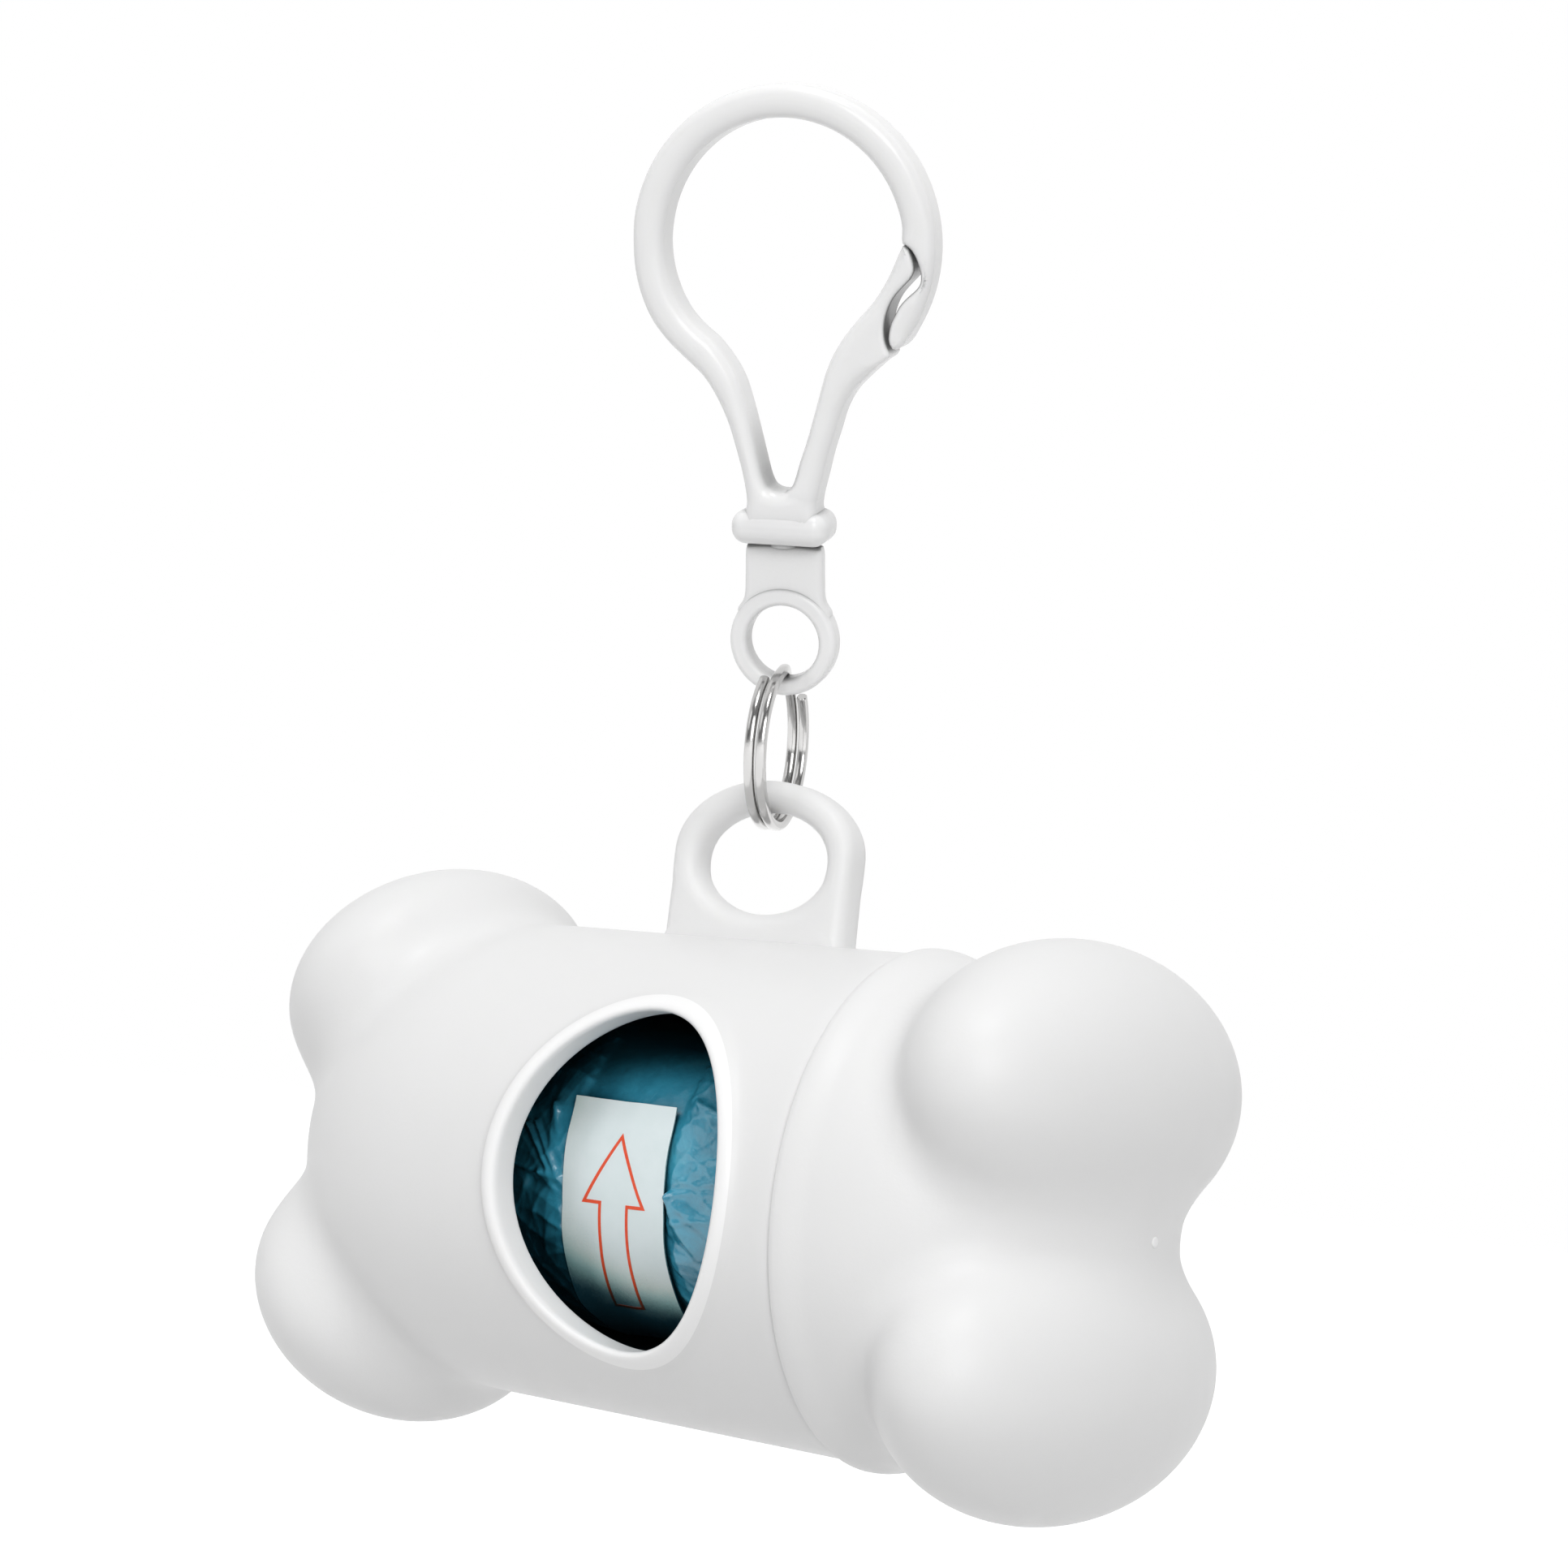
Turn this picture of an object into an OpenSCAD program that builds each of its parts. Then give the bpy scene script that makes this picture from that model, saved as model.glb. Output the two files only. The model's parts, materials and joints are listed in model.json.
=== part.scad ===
// Bone-shaped dispenser for a roll of pet waste bags.
// A hook hangs the case by a swivelling eye and a split ring.
// The row frame has its origin at the seat of the hook's loop, +Z up and the window towards -Y.

/* [Case] */
// Outer radius of the tube
tube_r = 20; // [19:0.5:24]
// Wall of the tube
wall = 2; // [1.6:0.1:2.4]
// Distance from the tab's middle to the seam with the cap
seam_x = 17.6; // [16:0.2:20]
// Distance from the tab's middle to where the closed end's dome starts
dome_x = 19.2; // [17:0.2:21]
// How far each end's dome reaches along the tube
dome_reach = 20.8; // [20:0.2:23]
// Fullness of the domes: 1 for an ellipse, less for a flatter end
dome_full = 0.88; // [0.85:0.01:1]
// How much smaller the domes are than the tube at their root
dome_step = 0.5; // [0.3:0.1:0.8]
// Rounding of the tube's open edge
tube_edge = 0.3; // [0.2:0.1:0.6]

/* [Bone ends] */
// Distance of the closed end's lobes from the tab's middle
case_lobe_x = 30.6; // [29.6:0.2:32]
// Height of the closed end's lobes above the axis
case_lobe_z = 10.8; // [10:0.1:12]
// Radius of the closed end's lobes
case_lobe_r = 12.8; // [12:0.1:13.5]
// Half depth of the closed end's lobes
case_lobe_depth = 17.2; // [16.5:0.1:18.5]
// Distance of the cap's lobes from the tab's middle
cap_lobe_x = 30; // [29:0.2:31]
// Height of the cap's lobes above the axis
cap_lobe_z = 10.5; // [9.5:0.1:11.5]
// Radius of the cap's lobes
cap_lobe_r = 11.3; // [10.8:0.1:12.2]
// Half depth of the cap's lobes
cap_lobe_depth = 20.2; // [19:0.1:21]
// Wall of the lobes where they are cored out
lobe_wall = 2.4; // [2:0.1:3]

/* [Window] */
// Distance of the window's middle from the tab's middle
window_x = 2; // [0:0.2:3]
// Half width of the window
window_a = 10.4; // [8:0.2:11.5]
// Half height of the window
window_b = 13.1; // [11:0.1:14]
// Width of the raised lip around the window
lip_w = 1.9; // [1.2:0.1:2.4]
// Height of the lip above the tube
lip_h = 0.7; // [0.4:0.1:1]

/* [Tab] */
// Width of the tab
tab_w = 17.8; // [17:0.2:22]
// Thickness of the tab
tab_t = 3.6; // [3:0.1:4.4]
// Height of the tab above the tube
tab_h = 13.4; // [12:0.2:16]
// Height of the tab's arch
tab_arch = 6; // [4:0.5:8]
// Half width of the tab's hole
hole_a = 6.5; // [5:0.1:6.8]
// Half height of the tab's hole
hole_b = 4.3; // [3.8:0.1:4.8]
// Thickness of the tab over its hole
tab_top = 2.6; // [2.2:0.1:3.4]
// Relief of the hole's two edges
hole_relief = 0.5; // [0.3:0.1:0.8]

/* [Cap] */
// How far the cap's rim stands out from the tube
rim_step = 0.5; // [0.2:0.1:0.8]
// Width of the cap's rim along the tube
rim_w = 3; // [2:0.2:4]
// Gap between the window and the plug's end
plug_gap = 0.6; // [0.3:0.1:1]
// Wall of the plug
plug_wall = 1.5; // [1.2:0.1:2]
// Radial clearance between the plug and the tube
plug_clear = 0.05; // [0.02:0.01:0.1]
// Gap at the seam
seam_gap = 0.2; // [0.1:0.05:0.4]

/* [Roll] */
// Outer radius of the wound bags
roll_r = 13.2; // [11:0.1:14]
// Length of the roll
roll_l = 60; // [56:1:62]
// Inner radius of the card core
core_r = 4.5; // [4:0.1:6]
// Wall of the card core
core_wall = 0.9; // [0.6:0.1:1.5]
// Thickness of the paper band
band_t = 0.15; // [0.1:0.05:0.3]
// Width of the paper band
band_w = 10; // [8:0.5:14]
// Middle of the paper band along the roll
band_x = -2; // [-4:0.5:4]
// How far above the window side the paper band starts, in degrees
band_top = 25; // [0:5:40]
// How far the paper band is wrapped round the roll, in degrees
band_wrap = 265; // [180:5:330]
// Radial clearance between the core and the two spindles
spin_clear = 0.08; // [0.03:0.01:0.1]
// Length of each spindle inside the core
spindle_l = 6; // [4:0.5:10]
// Gap between windings, core and band
wind_gap = 0.03; // [0.02:0.01:0.1]

/* [Hook] */
// Yaw of the hook from the case
hook_yaw = 19; // [0:1:30]
// Forward lean of the hook
hook_lean = 23; // [0:1:30]
// Inner radius of the loop
loop_r = 10; // [9:0.1:12]
// Width of the bar that the hook is bent from
bar_w = 2.6; // [2.2:0.1:3]
// Thickness of the hook
hook_t = 4.2; // [3.6:0.1:5]
// Rounding of the bar's edges
bar_edge = 0.9; // [0.5:0.1:1]
// Where the loop turns into the leg, from straight down
leg_turn = 40; // [34:1:46]
// Slope of the leg
leg_slope = 16; // [12:1:18]
// Height of the loop's middle above the crotch
loop_rise = 19.8; // [19:0.2:22]
// Half width of the hook at the crotch
crotch_w = 3.4; // [3.2:0.1:3.8]
// Height of the solid neck below the crotch
neck_h = 1.7; // [1.4:0.1:2.4]
// Thickness of the nose at the recess for the gate's tip
nose_w = 0.9; // [0.8:0.05:1.1]
// Thickness of the nose at its barb
barb_w = 1.95; // [1.7:0.05:2.1]
// Where the nose ends, in degrees below the loop's middle
nose_turn = 40; // [38:1:42]

/* [Gate] */
// Radius of the gate's flexing root
root_r = 1.1; // [0.9:0.05:1.2]
// Clearance around the root
gate_clear = 0.08; // [0.05:0.01:0.15]
// Gap between the gate's tip and the nose
nose_gap = 0.5; // [0.4:0.05:0.6]

/* [Swivel] */
// Width of the collar
collar_w = 8; // [7.6:0.1:10]
// Depth of the collar
collar_d = 5; // [4.8:0.1:7]
// Height of the collar
collar_h = 2.8; // [2.4:0.1:3.2]
// Rounding of the collar's corners
collar_edge = 1.2; // [0.8:0.1:1.2]
// Radius of the swivel's post
post_r = 1.3; // [1:0.1:1.5]
// Radius of the post's head
head_r = 1.8; // [1.6:0.1:1.9]
// Height of the post's head
head_h = 0.9; // [0.7:0.1:1]
// Floor of the collar below the head
collar_floor = 0.7; // [0.6:0.1:0.9]
// Clearance around the post and its head
swivel_clear = 0.08; // [0.04:0.01:0.1]
// Gap between the collar and the plate
plate_gap = 0.25; // [0.2:0.05:0.4]
// Width of the plate
plate_w = 6.6; // [5.6:0.1:7]
// Thickness of the plate
plate_t = 2.4; // [2:0.1:3]
// Height of the plate, down to the eye's middle
plate_h = 8.1; // [7:0.1:9]
// Radius of the eye's hole
eye_r = 3.1; // [2.8:0.1:3.6]
// Thickness of the bar around the eye
eye_bar = 1.5; // [1.3:0.1:1.8]

/* [Split ring] */
// Outer radius of the split ring
ring_r = 7; // [6.2:0.1:8]
// Diameter of the ring's wire
wire_d = 0.85; // [0.7:0.05:1]
// Distance between the ring's two turns
ring_pitch = 0.98; // [0.9:0.02:1.1]
// Angle between the ring's two ends, over its top
ring_gap = 80; // [60:5:90]
// Angle over which the ring jogs from one turn to the next
ring_jog = 60; // [40:5:80]
// Gap between the ring and the tab that hangs on it
tab_gap = 0.6; // [0.5:0.05:0.8]
// Distance of the ring from the tab's middle
hang_x = -0.4; // [-1:0.1:1]
// Gap between the ring and the eye that it hangs on
eye_gap = 0.12; // [0.1:0.01:0.2]

/* [Hidden] */
$fn = 64;
shell_color = "whitesmoke";
slop = 1;

// Inside sizes of the case
bore_r = tube_r - wall;
plug_r = bore_r - plug_clear;
plug_bore = plug_r - plug_wall;
dome_r = tube_r - dome_step;
case_dome_end = dome_x + dome_reach;
cap_dome_end = seam_x + dome_reach;
case_room_end = case_dome_end - lobe_wall;
cap_room_end = cap_dome_end - lobe_wall;
cap_room_x = cap_room_end - plug_bore * 3 / 4;

// Heights on the tab, above the tube's axis
tab_z = tube_r + tab_h;
hole_z = tab_z - tab_top - hole_b;
hole_top = tab_z - tab_top;
tab_root_z = bore_r + wall / 2;

// Roll
core_out = core_r + core_wall;
spindle_r = core_r - spin_clear;

// Hook, measured from the seat of its loop
bar_r = loop_r + bar_w / 2;
loop_z = -loop_r;
crotch_z = loop_z - loop_rise;
neck_z = crotch_z - neck_h;
collar_z = neck_z - collar_h;
plate_z = collar_z - plate_gap;
eye_z = plate_z - plate_h;
eye_mid = eye_r + eye_bar / 2;
seat_z = eye_z - eye_r;
recess_r = loop_r + bar_w - nose_w;
barb_r = loop_r + bar_w - barb_w;
function by_loop(r, below) = [r * cos(below), loop_rise - r * sin(below)];
recess = [by_loop(loop_r - slop, -6), by_loop(loop_r + 0.4, -1),
          by_loop(recess_r - 0.7, 3), by_loop(recess_r - 0.3, 8), by_loop(recess_r, 13),
          by_loop(recess_r - 0.2, 15), by_loop(barb_r + 0.5, 19), by_loop(barb_r, 24),
          by_loop(barb_r, 31), by_loop(barb_r + 0.4, nose_turn - 3),
          by_loop(barb_r + 1.3, nose_turn + 3), by_loop(loop_r - slop, nose_turn + 5)];

// Leg: it leaves the loop at leg_turn, bends the other way and runs straight to its foot
leg_u = [-sin(leg_turn), -cos(leg_turn)];
leg_n = [-cos(leg_slope), -sin(leg_slope)];
leg_start = [0, loop_z] + bar_r * leg_u;
leg_foot = [-(crotch_w - bar_w / 2), crotch_z];
leg_bend = ((leg_start - leg_foot) * leg_n) / (1 - leg_u * leg_n);
bend_c = leg_start + leg_bend * leg_u;
leg_knee = bend_c - leg_bend * leg_n;
leg_l = norm(leg_knee - leg_foot);

// Gate: its root turns at the top of the neck, and its tip shuts into the nose's recess
gate_x = crotch_w - root_r;
gate_z = crotch_z + root_r;
tip_r = recess_r - nose_gap;
function by_root(x, share) = [gate_x + x, root_r + share * (loop_rise - root_r)];
gate_inner = [by_root(-root_r, 0), by_root(-0.13, 0.154), by_root(0.76, 0.344),
              by_loop(loop_r + 0.7, 70), by_loop(loop_r - 0.5, 64), by_loop(loop_r - 1.3, 54),
              by_loop(loop_r - 1.6, 43), by_loop(loop_r - 1.3, 30), by_loop(loop_r - 0.85, 11),
              by_loop(loop_r - 0.35, 2)];
gate_tip = [by_loop(loop_r, -0.5), by_loop(loop_r + 0.3, -0.5), by_loop(tip_r - 0.45, 4),
            by_loop(tip_r, 9), by_loop(tip_r - 0.6, 15)];
gate_outer = [by_loop(barb_r - 0.6, 22), by_loop(barb_r - 0.6, 28), by_loop(barb_r - 0.35, 34),
              by_loop(barb_r + 0.2, nose_turn - 1.5), by_loop(barb_r + 1.2, nose_turn + 1.8),
              by_loop(barb_r + 1.6, nose_turn + 3.5), by_loop(barb_r + 1.5, nose_turn + 7),
              by_loop(barb_r + 1.8, nose_turn + 14), by_root(3.64, 0.389), by_root(2.75, 0.304),
              by_root(2.19, 0.208), by_root(1.63, 0.111), by_root(1.1 * root_r, 0)];

// Split ring and what hangs on it
ring_in = ring_r - wire_d;
ring_mid = ring_r - wire_d / 2;
ring_steps = 72;
wire_sides = 8;
function turned(v) =
    let (y = v[1] * cos(hook_lean) - v[2] * sin(hook_lean),
         z = v[1] * sin(hook_lean) + v[2] * cos(hook_lean))
    [v[0] * cos(hook_yaw) - y * sin(hook_yaw), v[0] * sin(hook_yaw) + y * cos(hook_yaw), z];
ring_seat = turned([0, 0, seat_z]);
ring_at = ring_seat + [0, 0, eye_gap - ring_in];
case_at = ring_at + [-hang_x, 0, tab_gap - ring_in - hole_top];

module in_hook_frame() {
    rotate([0, 0, hook_yaw]) rotate([hook_lean, 0, 0]) children();
}

module in_case_frame() {
    translate(case_at) children();
}

module along_x() {
    rotate([90, 0, 90]) children();
}

// A solid of revolution about the case's axis, from points [distance along the axis, radius]
module turned_about_x(points) {
    along_x() rotate_extrude() polygon([for (p = points) [p[1], p[0]]]);
}

function ellipse(a, b, n = 40) = [for (i = [0 : n - 1]) [a * cos(i * 360 / n), b * sin(i * 360 / n)]];

// A dome's outline from its root to its tip on the axis, a little fuller than an ellipse
function dome(x, reach, r, n = 9) =
    [for (i = [0 : n])
        [x + reach * pow(sin(i * 90 / n), dome_full), i == n ? 0 : r * pow(cos(i * 90 / n), dome_full)]];

// A pair of lobes, spheroids about axes that run from front to back
module lobes(x, z, r, depth, n = 8) {
    profile = [for (i = [-n : n]) [abs(i) == n ? 0 : r * cos(i * 90 / n), depth * sin(i * 90 / n)]];
    for (side = [-1, 1])
        translate([x, 0, side * z]) rotate([90, 0, 0]) rotate_extrude() polygon(profile);
}

// The lobes' cores, which draw out along the tube
module lobe_cores(x, z, r, depth, room_r) {
    intersection() {
        lobes(x, z, r - lobe_wall, depth - lobe_wall);
        along_x() translate([0, 0, -abs(x) - r]) cylinder(r = room_r, h = 2 * (abs(x) + r));
    }
}

module window_prism(grow, near, far) {
    translate([window_x, 0, 0]) rotate([90, 0, 0]) translate([0, 0, near])
        linear_extrude(far - near) polygon(ellipse(window_a + grow, window_b + grow));
}

module window_lip() {
    lip_steps = 2;
    for (i = [1 : lip_steps]) {
        intersection() {
            window_prism(lip_w * (1 - (i - 1) / lip_steps), 0, tube_r + lip_h + slop);
            along_x() translate([0, 0, window_x - window_a - lip_w - slop])
                cylinder(r = tube_r + lip_h * i / lip_steps, h = 2 * (window_a + lip_w + slop));
        }
    }
}

module tab_plate() {
    straight_top = tab_z - tab_arch;
    rotate([90, 0, 0]) linear_extrude(tab_t, center = true) {
        translate([-tab_w / 2, tab_root_z]) square([tab_w, straight_top - tab_root_z]);
        intersection() {
            translate([0, straight_top]) polygon(ellipse(tab_w / 2, tab_arch));
            translate([-tab_w / 2, straight_top - slop]) square([tab_w, tab_arch + 2 * slop]);
        }
    }
}

module tab_hole() {
    translate([0, 0, hole_z]) rotate([90, 0, 0]) {
        linear_extrude(tab_t + 2 * slop, center = true) polygon(ellipse(hole_a, hole_b));
        for (side = [-1, 1])
            translate([0, 0, side * (tab_t / 2 + slop - tab_t / 8)])
                linear_extrude(tab_t / 4 + slop, center = true)
                    polygon(ellipse(hole_a + hole_relief, hole_b + hole_relief));
    }
}

module case_body() {
    tube_end = seam_x - seam_gap;
    color(shell_color) in_case_frame() {
        difference() {
            union() {
                turned_about_x([[-dome_x, 0], [-dome_x, tube_r], [tube_end - tube_edge, tube_r],
                                [tube_end, tube_r - tube_edge], [tube_end, 0]]);
                mirror([1, 0, 0]) turned_about_x(concat([[dome_x - slop, 0], [dome_x - slop, dome_r]],
                                                        dome(dome_x, dome_reach, dome_r)));
                lobes(-case_lobe_x, case_lobe_z, case_lobe_r, case_lobe_depth);
                window_lip();
                tab_plate();
            }
            mirror([1, 0, 0]) turned_about_x(concat([[-seam_x - slop, 0], [-seam_x - slop, bore_r]],
                dome(dome_x, case_room_end - dome_x, bore_r)));
            lobe_cores(-case_lobe_x, case_lobe_z, case_lobe_r, case_lobe_depth, bore_r);
            window_prism(0, tube_r / 2, tube_r + lip_h + slop);
            tab_hole();
        }
        spindle(-case_room_end - lobe_wall / 2, -roll_l / 2 + spindle_l);
    }
}

// A spindle with a chamfered tip, which enters the core of the roll from one end
module spindle(root, tip) {
    chamfer = spindle_r / 4;
    way = sign(tip - root);
    turned_about_x([[root, 0], [root, spindle_r], [tip - way * chamfer, spindle_r],
                    [tip, spindle_r - chamfer], [tip, 0]]);
}

module end_cap() {
    rim_r = tube_r + rim_step;
    plug_x = window_x + window_a + plug_gap;
    color(shell_color) in_case_frame() {
        difference() {
            union() {
                turned_about_x([[plug_x, 0], [plug_x, plug_r - tube_edge], [plug_x + tube_edge, plug_r],
                                [seam_x, plug_r], [seam_x, rim_r - tube_edge],
                                [seam_x + tube_edge, rim_r], [seam_x + rim_w / 2, rim_r],
                                [seam_x + rim_w, dome_r], [seam_x + rim_w, 0]]);
                turned_about_x(concat([[seam_x, 0], [seam_x, dome_r]], dome(seam_x, dome_reach, dome_r)));
                lobes(cap_lobe_x, cap_lobe_z, cap_lobe_r, cap_lobe_depth);
            }
            turned_about_x(concat([[plug_x - slop, 0], [plug_x - slop, plug_bore]],
                                  dome(cap_room_x, cap_room_end - cap_room_x, plug_bore)));
            lobe_cores(cap_lobe_x, cap_lobe_z, cap_lobe_r, cap_lobe_depth, plug_bore);
        }
        spindle(cap_room_end + lobe_wall / 2, roll_l / 2 - spindle_l);
    }
}

module ring_about_x(outer, inner, from, to) {
    turned_about_x([[from, inner], [from, outer], [to, outer], [to, inner]]);
}

module bag_roll() {
    color([0.16, 0.5, 0.62]) in_case_frame()
        ring_about_x(roll_r, core_out + wind_gap, -roll_l / 2, roll_l / 2);
}

module roll_core() {
    color("burlywood") in_case_frame()
        ring_about_x(core_out, core_r, -roll_l / 2, roll_l / 2);
}

module paper_band() {
    color([0.85, 0.92, 0.93]) in_case_frame() along_x() rotate([0, 0, 180 - band_top])
        rotate_extrude(angle = band_wrap)
            translate([roll_r + wind_gap, band_x - band_w / 2]) square([band_t, band_w]);
}

// Offset of the ring's wire along its axis, from one turn to the next by a smooth jog
ring_sweep = 720 - ring_gap;
function ring_shift(a) =
    let (t = min(max((a - ring_sweep / 2) / ring_jog + 1 / 2, 0), 1))
    ring_pitch * (t * t * (3 - 2 * t) - 1 / 2);

function ring_point(a, s) =
    let (r = ring_mid + wire_d / 2 * cos(s))
    [ring_shift(a) + wire_d / 2 * sin(s), r * cos(a), r * sin(a)];

module split_ring() {
    side = 360 / wire_sides;
    points = [for (i = [0 : ring_steps]) for (j = [0 : wire_sides - 1])
              ring_point(i * ring_sweep / ring_steps, j * side)];
    skin = [for (i = [0 : ring_steps - 1]) for (j = [0 : wire_sides - 1])
            let (a = i * wire_sides + j, b = i * wire_sides + (j + 1) % wire_sides)
            [a, b, b + wire_sides, a + wire_sides]];
    ends = [[for (j = [wire_sides - 1 : -1 : 0]) j],
            [for (j = [0 : wire_sides - 1]) ring_steps * wire_sides + j]];
    start = 90 + ring_gap / 2;
    color("silver") translate(ring_at) rotate([0, 0, hook_yaw]) rotate([start, 0, 0])
        polyhedron(points, concat(skin, ends), convexity = 4);
}

module swivel_eye() {
    eye_side = eye_bar / 2;
    head_z = collar_z + collar_floor + swivel_clear;
    color(shell_color) in_hook_frame() {
        translate([0, 0, eye_z]) rotate([90, 0, 0]) rotate_extrude() translate([eye_mid, 0]) circle(eye_side);
        difference() {
            translate([0, 0, eye_z]) rounded_bar(plate_w, plate_t, plate_h, plate_t / 4);
            translate([0, 0, eye_z]) rotate([90, 0, 0]) cylinder(r = eye_mid, h = plate_t + slop, center = true);
        }
        translate([0, 0, plate_z - slop]) cylinder(r = post_r, h = head_z - plate_z + slop + head_h / 2);
        translate([0, 0, head_z]) cylinder(r = head_r, h = head_h);
    }
}

// An upright bar whose four long edges are round
module rounded_bar(w, d, h, edge) {
    linear_extrude(h) rounded_rect(w, d, edge);
}

module rounded_rect(w, d, edge, n = 3) {
    polygon([for (q = [0 : 3]) for (i = [0 : n])
        let (a = 90 * q + 90 * i / n, x = q == 0 || q == 3 ? 1 : -1, y = q < 2 ? 1 : -1)
        [x * (w / 2 - edge) + edge * cos(a), y * (d / 2 - edge) + edge * sin(a)]]);
}

// Stretch of the hook's bar bent about the loop's axis, from one angle to another
module bent_bar(radius, w, from, to) {
    rotate([-90, 0, 0]) rotate([0, 0, -to]) rotate_extrude(angle = to - from)
        translate([radius, 0]) rounded_rect(w, hook_t, bar_edge);
}

module socket() {
    chamber_z = collar_z + collar_floor;
    translate([0, 0, collar_z - slop]) cylinder(r = post_r + swivel_clear, h = collar_floor + 2 * slop);
    translate([0, 0, chamber_z]) cylinder(r = head_r + swivel_clear, h = head_h + 2 * swivel_clear);
}

module hook_body() {
    left_end = 270 - leg_turn;
    lap = 2;
    color(shell_color) in_hook_frame() difference() {
        union() {
            translate([0, 0, loop_z]) bent_bar(bar_r, bar_w, -nose_turn, left_end + lap);
            translate([bend_c[0], 0, bend_c[1]])
                bent_bar(leg_bend, bar_w, leg_slope, 90 - leg_turn);
            translate([leg_foot[0], 0, leg_foot[1]]) rotate([0, -leg_slope, 0])
                translate([0, 0, -root_r]) rounded_bar(bar_w, hook_t, leg_l + root_r, bar_edge);
            neck();
            collar();
        }
        socket();
        translate([0, 0, crotch_z]) rotate([90, 0, 0])
            linear_extrude(hook_t + slop, center = true) polygon(recess);
        translate([gate_x, 0, gate_z]) rotate([90, 0, 0])
            cylinder(r = root_r + gate_clear, h = hook_t + slop, center = true);
    }
}

module neck() {
    translate([0, 0, collar_z + collar_h / 2])
        rounded_bar(2 * crotch_w, hook_t, crotch_z + root_r - collar_z - collar_h / 2, bar_edge);
}

module collar() {
    translate([0, 0, collar_z]) rounded_bar(collar_w, collar_d, collar_h, collar_edge);
}

// Points of a smooth curve through the given ones, a Catmull-Rom spline
function spline(p, steps = 4) =
    [for (i = [0 : len(p) - 2]) for (j = [0 : steps - 1])
        let (t = j / steps, a = p[max(i - 1, 0)], b = p[i], c = p[i + 1], d = p[min(i + 2, len(p) - 1)])
        (2 * b + (c - a) * t + (2 * a - 5 * b + 4 * c - d) * t * t
         + (3 * b - a - 3 * c + d) * t * t * t) / 2];

module hook_gate() {
    outline = concat(gate_inner, gate_tip, gate_outer);
    color(shell_color) in_hook_frame() {
        translate([0, 0, crotch_z]) rotate([90, 0, 0]) linear_extrude(hook_t, center = true)
            polygon(spline(outline));
        translate([gate_x, 0, gate_z]) rotate([90, 0, 0]) cylinder(r = root_r, h = hook_t, center = true);
    }
}

case_body();
end_cap();
bag_roll();
roll_core();
paper_band();
split_ring();
swivel_eye();
hook_body();
hook_gate();
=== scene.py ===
import json
import math

import bmesh
import bpy
import numpy as np
from mathutils import Matrix, Vector, geometry

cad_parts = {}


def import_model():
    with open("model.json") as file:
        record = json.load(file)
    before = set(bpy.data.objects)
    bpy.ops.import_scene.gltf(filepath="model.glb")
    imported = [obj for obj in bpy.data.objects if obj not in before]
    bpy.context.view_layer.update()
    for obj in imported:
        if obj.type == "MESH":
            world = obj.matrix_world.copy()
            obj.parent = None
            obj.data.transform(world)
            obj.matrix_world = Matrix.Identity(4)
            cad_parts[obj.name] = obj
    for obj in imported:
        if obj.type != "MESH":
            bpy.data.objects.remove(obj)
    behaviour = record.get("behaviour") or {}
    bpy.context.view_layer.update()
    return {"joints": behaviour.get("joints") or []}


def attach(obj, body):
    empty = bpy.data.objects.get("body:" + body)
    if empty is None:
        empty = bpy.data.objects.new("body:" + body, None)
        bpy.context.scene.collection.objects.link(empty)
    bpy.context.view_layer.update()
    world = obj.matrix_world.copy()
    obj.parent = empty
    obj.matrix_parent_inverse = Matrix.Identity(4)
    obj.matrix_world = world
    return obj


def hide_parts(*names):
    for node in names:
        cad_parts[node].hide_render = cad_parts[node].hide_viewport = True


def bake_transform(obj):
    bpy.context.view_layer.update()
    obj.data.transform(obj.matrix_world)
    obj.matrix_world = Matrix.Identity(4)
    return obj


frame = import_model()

# Lengths are in millimetres, and MM turns them into the frame's metres.
MM = 0.001
JOINTS = {joint["name"]: joint for joint in frame["joints"]}
CASE_AT = Vector(JOINTS["roll_spin"]["pos_m"])


def axes(x, y, z):
    """The turn that takes X, Y and Z to these directions."""
    return Matrix((x, y, z)).transposed().to_4x4()


# Places: the case's own frame is upright, the hook's leans and is turned
UP = Vector((0, 0, 1))
HOOK_X = Vector(JOINTS["ring_swing"]["axis"])
HOOK_Z = Vector(JOINTS["eye_swivel"]["axis"])
IN_CASE = Matrix.Translation(CASE_AT)
IN_HOOK = axes(HOOK_X, HOOK_Z.cross(HOOK_X), HOOK_Z)

# Case
TUBE_R = 20.0
BORE_R = 18.0
MOUTH_X = 17.4
SEAM_X = 17.6
WINDOW_X, WINDOW_A, WINDOW_B = 2.0, 10.4, 13.1
# Each end: lobes' middle, half sizes, tilt, and how softly they blend; then the dome between them
CLOSED_END = {"side": -1, "x": 33.25, "z": 13.1, "half": (8.55, 16.95, 12.05), "tilt": 0.56,
              "core_blend": 3.6, "pair_blend": 2.7, "dome_x": 17.5, "reach": 21.5, "r": 20.0,
              "fullness": 2.38, "middle": 27.0}
CAP_END = {"side": 1, "x": 30.92, "z": 10.67, "half": (9.98, 20.53, 11.43), "tilt": 0.0,
           "core_blend": 2.4, "pair_blend": 2.8, "dome_x": 16.7, "reach": 21.8, "r": 20.15,
           "fullness": 2.0, "middle": 26.0}
END_FAR = 34.0
AROUND = 288
END_ROWS = 84
HALVINGS = 30
RIM = 0.3


# ---- mesh helpers

def add_object(name, data):
    made = bpy.data.objects.new(name, data)
    bpy.context.scene.collection.objects.link(made)
    return made


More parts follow.
